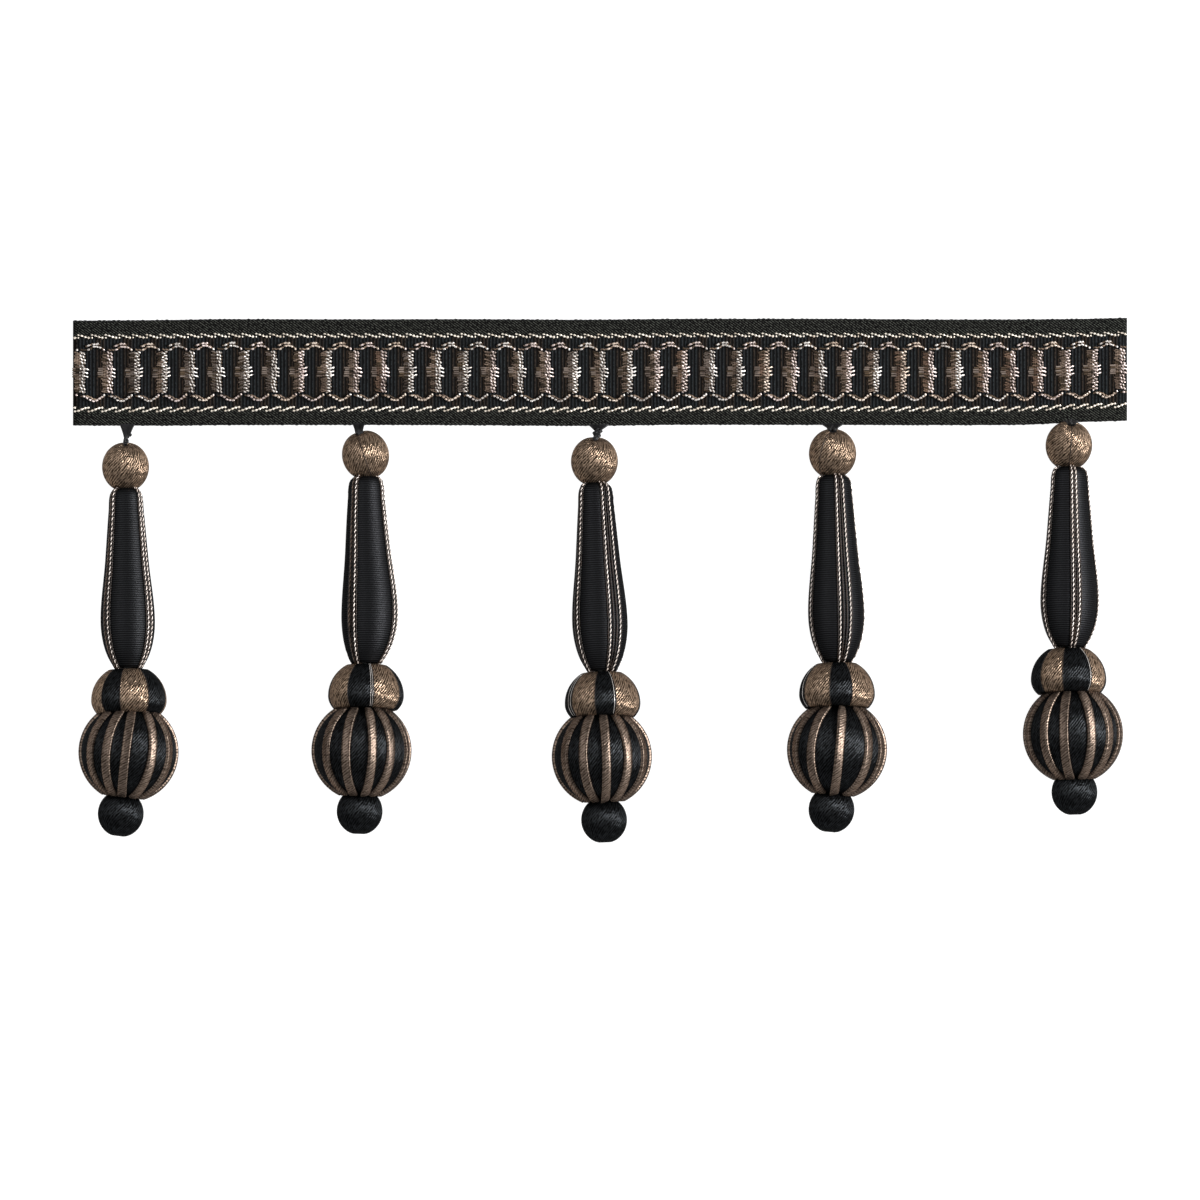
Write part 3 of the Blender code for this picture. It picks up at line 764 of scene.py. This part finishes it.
for number, drop in enumerate(DROPS, start=1):
    baluster = baluster_of(number)
    bm, _ = turned(baluster.rows, BALUSTER_STEPS)
    swell(bm, all_round(drop.cords, PANEL_COUNT), PANEL_SWELL)
    map_round(bm, PANEL_RADIUS)
    close_up(bm)
    for vert in bm.verts:
        push_aside(baluster, vert.co)
    place(f"ribbon_cover_{number}", bm, baluster.stand, [GROSGRAIN], [f"baluster_{number}"])

# %% [markdown]
# ## Cords on the balusters
#
# A narrow braid hides each edge of the ribbon. It shows as two fine cords, with dark brown twists between
# and beside them. Each fine cord has one light ply and one dark one, so the light ply shows as a row of
# slanting dashes. On the left of a drop the outer one of the two faces away from the lamp, and its light ply
# is painted in shade: in the shaded blush copy on two drops and in the dark yarn on three. A dark twist is
# drawn as one strand that is thick and thin by turns. All of them start inside the shoulder, under the bead,
# and end under the foot. The braids that lie on the floor are made of longer steps.

# %% Piping cords
CORDS = [BLUSH_YARN, SHADED_BLUSH_YARN, DARK_YARN]
BLUSH, SHADED_BLUSH, DARK = range(len(CORDS))
# For each drop and each braid that shows, the turn of its middle, how far its cords lie to each side of it,
# and the yarn of the left one. On the left of a drop that yarn is painted shade: the shaded blush copy on
# drops 1 and 2, and the dark yarn on the rest.
PIPINGS = (
    ((-50.6, 5.2, SHADED_BLUSH), (53.0, 5.9, BLUSH)),
    ((-37.8, 6.1, SHADED_BLUSH), (70.0, 8.0, BLUSH)),
    ((-55.0, 4.0, DARK), (33.6, 12.0, BLUSH)),
    ((-63.0, 3.4, DARK), (21.0, 11.0, BLUSH)),
    ((-60.5, 3.4, DARK), (16.0, 6.3, BLUSH), (95.0, 6.0, BLUSH)),
)
PIPING_STEP, HIDDEN_STEP = 0.3 * MM, 0.9 * MM  # along a route
LIGHT_LAY, LIGHT_OFFSET, LIGHT_PLY, SHADE_PLY = 1.35 * MM, 0.1 * MM, 0.13 * MM, 0.1 * MM
DARK_PITCH, DARK_PLY, DARK_AWAY = 0.9 * MM, 0.26 * MM, 4.2  # away from a light cord, in degrees
CORD_LIFT, DARK_LIFT = 0.3 * MM, 0.12 * MM  # over the ribbon
HIDDEN_HALF = 8.0  # degrees, from the middle of a hidden braid to its cords


def down_face(rows, turn, lift, step):
    """A route down the face of a turned piece, at a turn and a height above its rows."""
    route, side = [], outwards(turn)
    for (height, radius), (next_height, next_radius) in zip(rows, rows[1:]):
        start, end = side * radius + UP * height, side * next_radius + UP * next_height
        slope = math.atan2(radius - next_radius, next_height - height)
        out = side * math.cos(slope) + UP * math.sin(slope)
        pieces = max(1, round(math.dist((height, radius), (next_height, next_radius)) / step))
        route += [(start.lerp(end, i / pieces) + out * lift, out) for i in range(pieces)]
    return route


def knobbly(route, radius, pitch):
    """The radius at each point of a route, thick and thin by turns."""
    return [radius * (0.7 + 0.3 * math.sin(math.tau * i * PIPING_STEP / pitch)) for i in range(len(route))]


for number, (drop, pipings) in enumerate(zip(DROPS, PIPINGS), start=1):
    baluster = baluster_of(number)
    hidden = [(turn, HIDDEN_HALF, BLUSH) for turn in all_round(drop.cords, PANEL_COUNT)[len(drop.cords) :]]
    plies = []
    for i, (turn, half, left) in enumerate([*pipings, *hidden]):
        step = PIPING_STEP if i < len(pipings) else HIDDEN_STEP
        for side, finish in ((-1, left), (1, BLUSH)):
            cord = down_face(baluster.rows, turn + side * half, CORD_LIFT, step)
            plies.append((twist(cord, LIGHT_OFFSET, LIGHT_LAY), LIGHT_PLY, finish))
            plies.append((twist(cord, LIGHT_OFFSET, LIGHT_LAY, 180.0), SHADE_PLY, DARK))
        for dark in (-half - DARK_AWAY, -half / 3, half / 3, half + DARK_AWAY):
            strand = down_face(baluster.rows, turn + dark, DARK_LIFT, step)
            plies.append((strand, knobbly(strand, DARK_PLY, DARK_PITCH), DARK))
    for route, *_ in plies:
        for point, _ in route:
            push_aside(baluster, point)
    add_yarn(f"cords_{number}", plies, CORDS, [f"piping_{number}"], baluster.stand)

# %% [markdown]
# ## Dividing threads
#
# Fine threads finish the windings. A thin dark one marks each line between two bands of a bun. A few pale
# ends of the taupe floss lie loose over the black bands, drawn in the painted-lit silver gimp. Three of the
# beads show the dark line where their winding began and ended.

# %% Dividing threads
LINE_THREAD, LINE_SINK, LINE_STEP = 0.11 * MM, 0.16 * MM, 1.0 * MM
PALE_ENDS = ((2, 7.5), (2, 10.5), (3, -65.0), (3, -58.0), (3, 18.5), (4, -66.0), (5, 36.0))  # bun, turn
BEAD_LINES = ((2, -8.0, 10.0), (4, -27.0, -12.0), (5, 5.0, 2.0))  # bead, turn at its mouth, drift in degrees

face_rows = bun_rows()[1:-1]
for number, drop in enumerate(DROPS, start=1):
    turns = all_round(drop.bands, BAND_COUNT)
    lines = [(down_face(face_rows, turn, -LINE_SINK, LINE_STEP), LINE_THREAD, 0) for turn in turns]
    for turn in [turn for bun, turn in PALE_ENDS if bun == number]:
        lines.append((down_face(face_rows, turn, 0.0, LINE_STEP), LINE_THREAD * 0.6, 1))
    stand = standing(drop.bun, drop.ball - drop.bead)
    finishes = [DARK_YARN, PAINTED_LIT_SILVER_GIMP]
    add_yarn(f"bun_lines_{number}", lines, finishes, [f"bun_{number}"], stand)

for number, turn, drift in BEAD_LINES:
    rows = bead_rows(TOP_COVERS[number - 1], TOP_HEAP, TOP_DIP)[2:-2]
    line = []
    for i, (height, radius) in enumerate(rows):
        out = outwards(turn + drift * i / len(rows))
        line.append((out * radius + UP * height, out))
    stand = standing(DROPS[number - 1].bead, bead_axis(number))
    nodes = [f"top_bead_{number}"]
    add_yarn(f"bead_line_{number}", [(line, LINE_THREAD)], [DARK_YARN], nodes, stand)

# %% [markdown]
# ## Braid
#
# The heading is one woven braid, 1.2 mm thick. Its edges wander a little, as hand-laid braid does. A grid is
# drawn out to its outline and given its thickness. The weave is in the material: fine upright ribs behind
# the chain, and a twill outside the light cords.

# %% Braid cloth
BRAID_LENGTH, BRAID_WIDTH, BRAID_THICKNESS, BRAID_ROUNDING = 284.6 * MM, 28.0 * MM, 1.2 * MM, 0.4 * MM
# Both edges, as how far a place is to the right and how far out the edge is there, in mm.
UPPER_EDGE = (
    (-142.3, 13.80), (-120.0, 13.95), (-100.0, 14.20), (-70.0, 14.15), (-40.0, 14.20), (-5.0, 14.05),
    (25.0, 14.30), (60.0, 14.30), (95.0, 14.10), (116.0, 14.15), (128.0, 14.25), (142.3, 14.55),
)
LOWER_EDGE = (
    (-142.3, 14.10), (-120.0, 14.15), (-100.0, 14.00), (-70.0, 13.95), (-40.0, 14.00), (-5.0, 14.20),
    (25.0, 13.90), (60.0, 13.95), (95.0, 14.00), (116.0, 13.85), (128.0, 13.25), (142.3, 12.80),
)


def on_braid(x, across):
    """Y of a point of the pattern: across is measured from the middle of a braid of nominal width."""
    upper, lower = smooth(UPPER_EDGE, x / MM) * MM, smooth(LOWER_EDGE, x / MM) * MM
    return BRAID_MIDDLE + (upper - lower) / 2 + across * (upper + lower) / BRAID_WIDTH


def on_cloth(points):
    """A route over the braid, from the x of each point, how far across it is, and how high over the face."""
    return [(Vector((x, on_braid(x, across), BRAID_THICKNESS + height)), UP) for x, across, height in points]


bm = bmesh.new()
bm.loops.layers.uv.new("UVMap")
bmesh.ops.create_grid(bm, x_segments=142, y_segments=28, size=0.5, calc_uvs=True)
for vert in bm.verts:
    x = vert.co.x * BRAID_LENGTH
    vert.co = (x, on_braid(x, vert.co.y * BRAID_WIDTH), BRAID_THICKNESS)
bmesh.ops.solidify(bm, geom=bm.faces[:], thickness=BRAID_THICKNESS)
bmesh.ops.recalc_face_normals(bm, faces=bm.faces)
rims = [
    edge
    for edge in bm.edges
    if edge.calc_face_angle(0.0) > 1.0 and abs(edge.verts[0].co.x - edge.verts[1].co.x) > MM
]
bmesh.ops.bevel(
    bm, geom=rims, offset=BRAID_ROUNDING, segments=3, profile=0.5, affect="EDGES", material=-1
)
print("braid stands from", round(min(v.co.z for v in bm.verts) / MM, 2), "mm")
braid_cloth = place("braid_cloth", bm, Matrix.Identity(4), [], ["heading"])

# %% [markdown]
# ## Woven ground
#
# Between the light cords the braid is a plain rib weave, with upright ribs of black warp, and of brown warp
# left of each bar. Outside them it is a fine twill. The pattern is laid in millimetres on the cloth's own UV
# map, so it follows the braid where its edges wander. Real ribs lie 0.78 mm apart, and are drawn eight to a
# cell, 0.92 mm apart, so that the render can hold them. Ribs and twill alike are painted darker in their
# hollows and lighter on their crests: painted shade and painted highlight.

# %% Woven braid
BAR_COUNT, BAR_PITCH = 39, 7.39 * MM
RIBS_TO_A_CELL = 8
BROWN_AT = -1.9  # mm, right of the middle of a bar
TWILL_FROM, TWILL_PITCH = 9.6, 0.95  # mm from the middle of the braid, and mm
TWILL_STEEPNESS, WEAVE_DEPTH = 1.4, 0.08  # mm

WEAVE, tree, shader = new_finish("woven viscose braid", Roughness=0.6, Specular_IOR_Level=0.06)
uv = add_node(tree, "UVMap", {}, uv_map="UVMap")
sides = (BRAID_LENGTH / MM, BRAID_WIDTH / MM, 1.0)
middle = (-sides[0] / 2, -sides[1] / 2, 0.0)
in_mm = add_node(tree, "Mapping", {"Vector": uv, "Location": middle, "Scale": sides})
at = add_node(tree, "SeparateXYZ", {"Vector": in_mm})
x, y = at.outputs["X"], at.outputs["Y"]
fleck = add_node(tree, "TexNoise", {"Vector": in_mm, "Scale": 1.7, "Detail": 2.0}, noise_dimensions="2D")
strength = add_node(tree, "MapRange", {"Value": fleck, "From Min": 0.36, "From Max": 0.64})

rib = wave(tree, x, BAR_PITCH / MM / RIBS_TO_A_CELL)
rib_share = add_node(tree, "Math", {0: rib, 1: strength}, operation="MULTIPLY")
brown = wave(tree, x, BAR_PITCH / MM, BROWN_AT)
# The ground colour: painted shade in the hollows between the ribs and a painted highlight on their crests,
# over the black warp and the brown.
painted_shade_hollow = between(tree, brown, 0.4, 0.8, "#08090a", "#0c0907")
painted_lit_crest = between(tree, brown, 0.4, 0.8, "#22272a", "#33281f")
ground = add_node(tree, "Mix", {0: rib_share, 6: painted_shade_hollow, 7: painted_lit_crest}, data_type="RGBA")

slant = add_node(tree, "Math", {0: y, 1: TWILL_STEEPNESS, 2: x}, operation="MULTIPLY_ADD")
twill = add_node(tree, "Math", {0: wave(tree, slant, TWILL_PITCH), 1: strength}, operation="MULTIPLY")
# The twill is painted dark in its grooves and light on its crests: painted shade and painted highlight.
bands = between(tree, twill, 0.0, 1.0, "#020202", "#4c4e48")

out_from_middle = add_node(tree, "Math", {0: y}, operation="ABSOLUTE")
inputs = {"Value": out_from_middle, "From Min": TWILL_FROM - 0.3, "From Max": TWILL_FROM}
outside = add_node(tree, "MapRange", inputs)
colour = add_node(tree, "Mix", {0: outside, 6: ground, 7: bands}, data_type="RGBA")
surface(tree, shader, colour, add_node(tree, "Mix", {0: outside, 2: rib, 3: twill}), WEAVE_DEPTH)
braid_cloth.data.materials.append(WEAVE)

# %% [markdown]
# ## Light cords on the braid
#
# Two light cords run along the braid, 4 mm in from its edges. Each has two strands, twisted one way in the
# upper cord and the other way in the lower one. The loom sinks them half into the cloth, so each strand shows
# on its way over the front and is hidden on its way back. It lays them in step with the chain, one lay to a
# cell. A strand's own tight twist shows as small beads of light, eight to a cell, so it is drawn thick and
# thin by turns. The upper cord is twisted tighter: its beads are rounder, and grow as they come to the front.

# %% Edge cords
CORD_ACROSS = 9.9 * MM
BEAD_LENGTH = BAR_PITCH / 8
CORD_SINK = 0.12 * MM  # of the cord's middle under the face of the cloth
CORD_STEPS = round(BRAID_LENGTH / (BEAD_LENGTH / 6))
# Start is where in its turn a cord begins at the left end, in degrees. Offset and radius are a strand's,
# least is how thin it is between its beads, and growth how much they grow while it crosses the front.
LightCord = namedtuple("LightCord", "name side start offset radius least growth")
LIGHT_CORDS = (
    LightCord("upper", 1.0, 41.8, 0.42 * MM, 0.44 * MM, 0.1, 0.2),
    LightCord("lower", -1.0, 109.3, 0.5 * MM, 0.34 * MM, 0.3, -0.1),
)


def beaded(route, cord):
    """The radius at each point of a route, thick and thin by turns, and growing as it crosses the front."""
    return [
        cord.radius
        * (cord.least + (1 - cord.least) * math.sin(math.pi * point.x / BEAD_LENGTH) ** 2)
        * (1 - cord.growth - cord.growth * out.y)
        for point, out in route
    ]


for cord in LIGHT_CORDS:
    across = cord.side * CORD_ACROSS
    middle = on_cloth(((share - 0.5) * BRAID_LENGTH, across, -CORD_SINK) for share in shares(CORD_STEPS))
    plies = []
    for start in (cord.start, cord.start + 180.0):
        strand = twist(middle, cord.offset, cord.side * BAR_PITCH, start)
        plies.append((strand, beaded(strand, cord)))
    add_yarn(f"{cord.name}_light_cord", plies, [CREAM_YARN], [f"{cord.name}_cord"])

# %% [markdown]
# ## Chain of gimp
#
# The chain is worked in taupe gimp. Each bar is a ridge: on its left the yarn lies flat and goes across, in
# brown and tan, and on its right it stands up in a row of slanting loops, which catch the lamp. Half way up,
# a boss reaches out of the bar on both sides. The loops on the right and the teeth of the boss are drawn in
# near-white copies of the gimp, a painted highlight. Two dimmer strands go round the upper end of every cell
# and one round its lower end, and short light loops in the same painted-lit gimp lie over them. A loop of a
# bar is a short length of two plies, one light and one dark, so its light comes in strokes.

# %% Chain bars
BAR_LEFT, BAR_RIGHT = 1.5 * MM, 1.32 * MM
BAR_TOP, BAR_FOOT = 5.35 * MM, -5.1 * MM  # the middles of its first and last loops
CROSSING_SPACING, CROSSING_RADIUS = 0.42 * MM, 0.19 * MM
LOOP_SLANT = 0.45 * MM  # that a loop falls or rises on its way to the right
LOOP_COUNT = 13
GIMP_LAY, GIMP_OFFSET, GIMP_PLY = 0.95 * MM, 0.17 * MM, 0.22 * MM
# How high each kind of thread begins and ends over the face of the braid.
CROSSING_RISE, LOOP_RISE = (0.05 * MM, 0.6 * MM), (0.25 * MM, 0.75 * MM)
THREAD_RISE, TOOTH_RISE = (0.0, 0.25 * MM), (0.3 * MM, 0.85 * MM)
BOSS_LEFT, BOSS_RIGHT = 2.55 * MM, 2.2 * MM
BOSS_LOOPS = (1.1, 0.1, -0.9)  # mm, their heights across the braid
BOSS_THREADS, BOSS_THREAD = (1.2, 0.7, 0.1, -0.4, -1.0), 0.24 * MM
BOSS_TOOTH = (0.2, 0.28, 0.14, 0.26, 0.2)  # its radius from end to end, in mm
GIMPS = [BROWN_GIMP, TAN_GIMP, RUST_GIMP, GREY_GIMP, PAINTED_LIT_GOLD_GIMP, PAINTED_LIT_ROSE_GIMP, PAINTED_LIT_SILVER_GIMP]
BROWN, TAN, RUST, GREY, PAINTED_LIT_GOLD, PAINTED_LIT_ROSE, PAINTED_LIT_SILVER = range(len(GIMPS))
# The right finish of each pair is painted far lighter than the left: a painted highlight on the loops that
# face the lamp.
TONES = ((TAN, PAINTED_LIT_ROSE), (TAN, PAINTED_LIT_SILVER), (RUST, PAINTED_LIT_GOLD), (RUST, PAINTED_LIT_ROSE), (GREY, PAINTED_LIT_SILVER))  # of a bar, left and right
PAINTED_LIT_GIMPS = (PAINTED_LIT_GOLD, PAINTED_LIT_ROSE, PAINTED_LIT_SILVER)


def across_bar(x, y, start, end, low, high, slant=0.0, count=5):
    """A thread that lies across a bar at x, from start to end, and climbs from low to high."""
    last = BRAID_LENGTH / 2
    points = []
    for share in shares(count):
        height = low + (high - low) * math.sin(math.pi / 2 * share)
        right = max(-last, min(last, x + start + (end - start) * share))
        points.append((right, y + slant * (share - 0.5), height))
    return on_cloth(points)


def gimp(route, shade, thick=1.0):
    """The two plies of a length of gimp, one in this shade and a thinner one in brown."""
    start, lay = random.uniform(0.0, 360.0), GIMP_LAY * random.uniform(0.85, 1.15)
    return [
        (twist(route, GIMP_OFFSET * thick, lay, start), GIMP_PLY * thick, shade),
        (twist(route, GIMP_OFFSET * thick, lay, start + 180.0), GIMP_PLY * thick * 0.8, BROWN),
    ]


def bar(x):
    """The plies of one bar."""
    # The variable shade holds the right-hand finish, one of the painted-lit ones: a painted highlight on the
    # loops and the boss teeth.
    tone, shade = random.choice(TONES)
    slant = LOOP_SLANT * random.choice((-1, -1, 1))
    plies = []
    for i in range(round((BAR_TOP - BAR_FOOT) / CROSSING_SPACING) + 1):
        y = BAR_FOOT + i * CROSSING_SPACING
        radius = CROSSING_RADIUS * random.uniform(0.7, 1.15)
        left = BAR_LEFT * random.uniform(0.8, 1.15)
        crossing = across_bar(x, y, -left, 0.2 * MM, *CROSSING_RISE, slant * random.uniform(0.3, 1.3), 6)
        sizes = [radius * (1.1 if j % 2 else 0.55) for j in range(len(crossing))]
        plies.append((crossing, sizes, random.choice((tone, tone, BROWN))))
    for share in shares(LOOP_COUNT - 1):
        y = BAR_FOOT + share * (BAR_TOP - BAR_FOOT)
        right = BAR_RIGHT * random.uniform(0.92, 1.04)
        plies += gimp(across_bar(x, y, right, 0.0, *LOOP_RISE, -slant, 9), shade)
    for y in BOSS_THREADS:
        left = BOSS_LEFT * random.uniform(0.9, 1.05)
        thread = across_bar(x, y * MM, -left, -1.2 * MM, *THREAD_RISE, count=3)
        plies.append((thread, BOSS_THREAD, random.choice((GREY, GREY, BROWN))))
    for y in BOSS_LOOPS:
        right = BOSS_RIGHT * random.uniform(0.9, 1.05)
        tooth = across_bar(x, y * MM, right, 0.9 * MM, *TOOTH_RISE, -slant, 4)
        plies.append((tooth, [size * MM for size in BOSS_TOOTH], shade))
    return plies


random.seed(39)
bars = [(i - (BAR_COUNT - 1) / 2) * BAR_PITCH for i in range(BAR_COUNT)]
for name, xs in (("left", bars[: BAR_COUNT // 2]), ("right", bars[BAR_COUNT // 2 :])):
    add_yarn(f"chain_bars_{name}", [ply for x in xs for ply in bar(x)], GIMPS, ["gimp_chain"])

# %% Arches of the chain
# How far out from the middle of the braid each strand runs, by the distance right of a bar's middle, in mm.
INNER_ARCH = ((0.2, 6.3), (1.4, 6.2), (2.5, 6.4), (3.7, 7.1), (4.7, 7.15), (5.7, 6.8), (6.4, 6.35))
OUTER_ARCH = ((1.6, 7.1), (2.6, 7.5), (3.6, 7.85), (4.5, 7.85), (5.2, 7.55))
# The middle of each light loop in the same measures, then how far it goes on from there, right and out. The
# light loops are drawn in the painted-lit gimp, a painted highlight.
UPPER_LOOPS = (
    (-0.88, 6.25, -0.06, 0.28), (2.35, 6.28, 0.32, 0.12), (2.3, 7.35, 0.35, 0.14), (3.8, 7.05, 0.35, -0.05),
    (4.65, 7.05, 0.35, -0.12), (5.45, 6.8, 0.3, -0.14), (3.75, 7.8, 0.35, 0.14), (4.55, 7.8, 0.35, 0.18),
)
LOWER_LOOPS = (
    (-0.88, 6.0, 0.06, 0.28), (1.1, 6.3, 0.28, 0.12), (1.95, 6.7, 0.3, 0.14), (2.75, 7.3, 0.3, 0.1),
    (3.6, 7.55, 0.35, 0.0), (4.45, 7.45, 0.35, -0.12), (5.2, 6.95, 0.3, -0.16), (5.85, 6.4, 0.22, -0.12),
)
ARCH_STEP, ARCH_THICK = 0.2 * MM, 0.75  # of the gimp in a bar
HEADED_LOOP = (0.14, 0.3, 0.22, 0.32, 0.16)  # its radius from end to end, in mm
HEADED_HEIGHT = 0.75 * MM  # over the face of the braid


def round_cell(x, side, rows):
    """A strand round one end of the cell on the right of the bar at x."""
    first, last = rows[0][0], rows[-1][0]
    points = []
    for share in shares(round((last - first) * MM / ARCH_STEP)):
        right = first + (last - first) * share
        height = 0.1 + 0.4 * min(1.0, 5 * share, 5 * (1 - share))
        if abs(x + right * MM) < BRAID_LENGTH / 2:
            points.append((x + right * MM, side * smooth(rows, right) * MM, height * MM))
    return on_cloth(points)


for name, side, light_loops in (("upper", 1.0, UPPER_LOOPS), ("lower", -1.0, LOWER_LOOPS)):
    plies = []
    for x in [bars[0] - BAR_PITCH] + bars:
        for rows in (INNER_ARCH, OUTER_ARCH) if side > 0 else (INNER_ARCH,):
            strand = round_cell(x, side, rows)
            if len(strand) > 8:
                plies += gimp(strand, random.choice((TAN, TAN, BROWN)), ARCH_THICK)
        shade = random.choice(PAINTED_LIT_GIMPS)
        for right, out, reach_right, reach_out in light_loops:
            middle_x = x + (right + random.uniform(-0.1, 0.1)) * MM
            if abs(middle_x) > BRAID_LENGTH / 2 - 0.4 * MM:
                continue
            middle_y = side * (out + random.uniform(-0.08, 0.08)) * MM
            on_x, on_y = reach_right * MM, side * reach_out * MM
            ways = (-1.0, -0.5, 0.0, 0.5, 1.0)
            loop = on_cloth((middle_x + way * on_x, middle_y + way * on_y, HEADED_HEIGHT) for way in ways)
            plies.append((loop, [size * MM for size in HEADED_LOOP], shade))
    add_yarn(f"{name}_arches", plies, GIMPS, ["gimp_chain"])

# %% [markdown]
# ## Selvedges
#
# At both edges of the braid the weft turns back on itself, which leaves a row of small loops about a
# millimetre apart, some of them pulled tighter than others.

# %% Selvedge loops
LOOP_PITCH, LOOP_REACH, LOOP_RADIUS = 1.3 * MM, 0.2 * MM, 0.2 * MM


def selvedge(side):
    """A route along one edge of the braid that reaches out in loops, each as far as chance has it."""
    count = round(BRAID_LENGTH / LOOP_PITCH)
    reaches = [LOOP_REACH * random.uniform(0.1, 1.0) for _ in range(count + 1)]
    route = []
    for i, share in enumerate(shares(6 * count)):
        x = (share - 0.5) * BRAID_LENGTH
        y = on_braid(x, side * BRAID_WIDTH / 2) + side * reaches[i // 6] * math.sin(math.pi * i / 6) ** 2
        route.append((Vector((x, y, BRAID_THICKNESS / 2)), UP))
    return route


plies = [(selvedge(side), LOOP_RADIUS) for side in (1.0, -1.0)]
add_yarn("selvedge_loops", plies, [BLACK_YARN], ["heading"])

# %% [markdown]
# ## Hanging threads
#
# Black thread is sewn through the lower edge of the braid, gathered, and taken down through the bead. Some
# drops hang close under the edge, and others on a short twist with knots. A knot is thread wound round a
# short piece of string.

# %% Hanging threads
Hanging = namedtuple("Hanging", "root fan gather width knots")
# Where the sewing starts and how wide it is, then the place and width of the gathers, and each knot's place
# and radius, all in mm. Places are right of the root and down from the edge.
HANGINGS = (
    Hanging(-127.65, 4.0, (-0.2, 3.4), 0.9, ((0.8, 2.7, 0.5),)),
    Hanging(-65.15, 3.2, (0.05, 2.2), 1.55, ()),
    Hanging(
        -0.35, 5.6, (-0.3, 1.3), 1.4, ((0.2, 1.8, 0.9), (-0.8, 2.2, 0.9), (-0.2, 3.0, 0.9), (-0.8, 3.7, 0.8))
    ),
    Hanging(62.75, 6.2, (0.0, 0.8), 2.7, ((-0.6, 1.3, 0.6), (0.6, 1.4, 0.6))),
    Hanging(126.9, 4.4, (0.3, -0.3), 3.0, ((0.3, 0.4, 0.5),)),
)
SEWN_REACH = 0.4 * MM  # in from the edge of the braid
SEWN_THREAD, STRING_PLY, STRING_LAY = 0.3 * MM, 0.4 * MM, 7.0 * MM
SEWN_COUNT, WIDE_GATHER = 14, 1.5  # mm: a wider gather goes on to the hole as single threads


def bend(start, first, second, end, count=14):
    """A smooth route between two points, which leaves towards first and arrives from second."""
    return [(point, UP) for point in interpolate_bezier(start, first, second, end, count + 1)]


for number, (drop, hanging) in enumerate(zip(DROPS, HANGINGS), start=1):
    cover = TOP_COVERS[number - 1]
    hole = drop.bead - bead_axis(number) * (cover - 0.3 * MM)
    root = Vector((hanging.root * MM, on_braid(hanging.root * MM, -BRAID_WIDTH / 2), BRAID_THICKNESS * 0.7))

    def down(right, below):
        """A point right of the root and below the edge, on the way up to the hole, and clear of the bead."""
        share = min(1.0, below * MM / (root.y - hole.y))
        point = Vector((root.x + right * MM, root.y - below * MM, root.z + (hole.z - root.z) * share))
        over_bead = (cover * (1 + TOP_HEAP)) ** 2 - (point.xy - drop.bead.xy).length_squared
        if over_bead > 0:
            point.z = max(point.z, drop.bead.z + math.sqrt(over_bead) + SEWN_THREAD)
        return point

    gather = down(*hanging.gather)
    plies = []
    for share in shares(SEWN_COUNT - 1):
        right = Vector(((share - 0.5) * MM, 0.0, 0.0))
        start = root + right * hanging.fan + Vector((0.0, SEWN_REACH, 0.0))
        drawn = gather + right * hanging.width
        over = start - right * 0.3 * hanging.fan - Vector((0.0, SEWN_REACH + 0.3 * MM, 0.0))
        plies.append((bend(start, over, over.lerp(drawn, 0.6), drawn), SEWN_THREAD))
        if hanging.width > WIDE_GATHER:
            end = hole + right * 0.6 * hanging.width
            plies.append((bend(drawn, drawn.lerp(end, 0.3), drawn.lerp(end, 0.7), end, 6), SEWN_THREAD))
    string = bend(gather, gather.lerp(hole, 0.3), gather.lerp(hole, 0.7), hole, 30)
    for start in (0.0, 180.0):
        plies.append((twist(string, STRING_PLY, STRING_LAY, start), STRING_PLY))
    for right, below, size in hanging.knots:
        centre, reach = down(right, below), Vector((0.2, -0.4, 0.0)) * size * MM
        core = [(centre + reach * (i / 15 - 1), UP) for i in range(31)]
        plies.append((twist(core, size * MM - SEWN_THREAD, reach.length * 0.8), SEWN_THREAD))
    add_yarn(f"sewn_thread_{number}", plies, [BLACK_YARN], [f"hanger_{number}"])
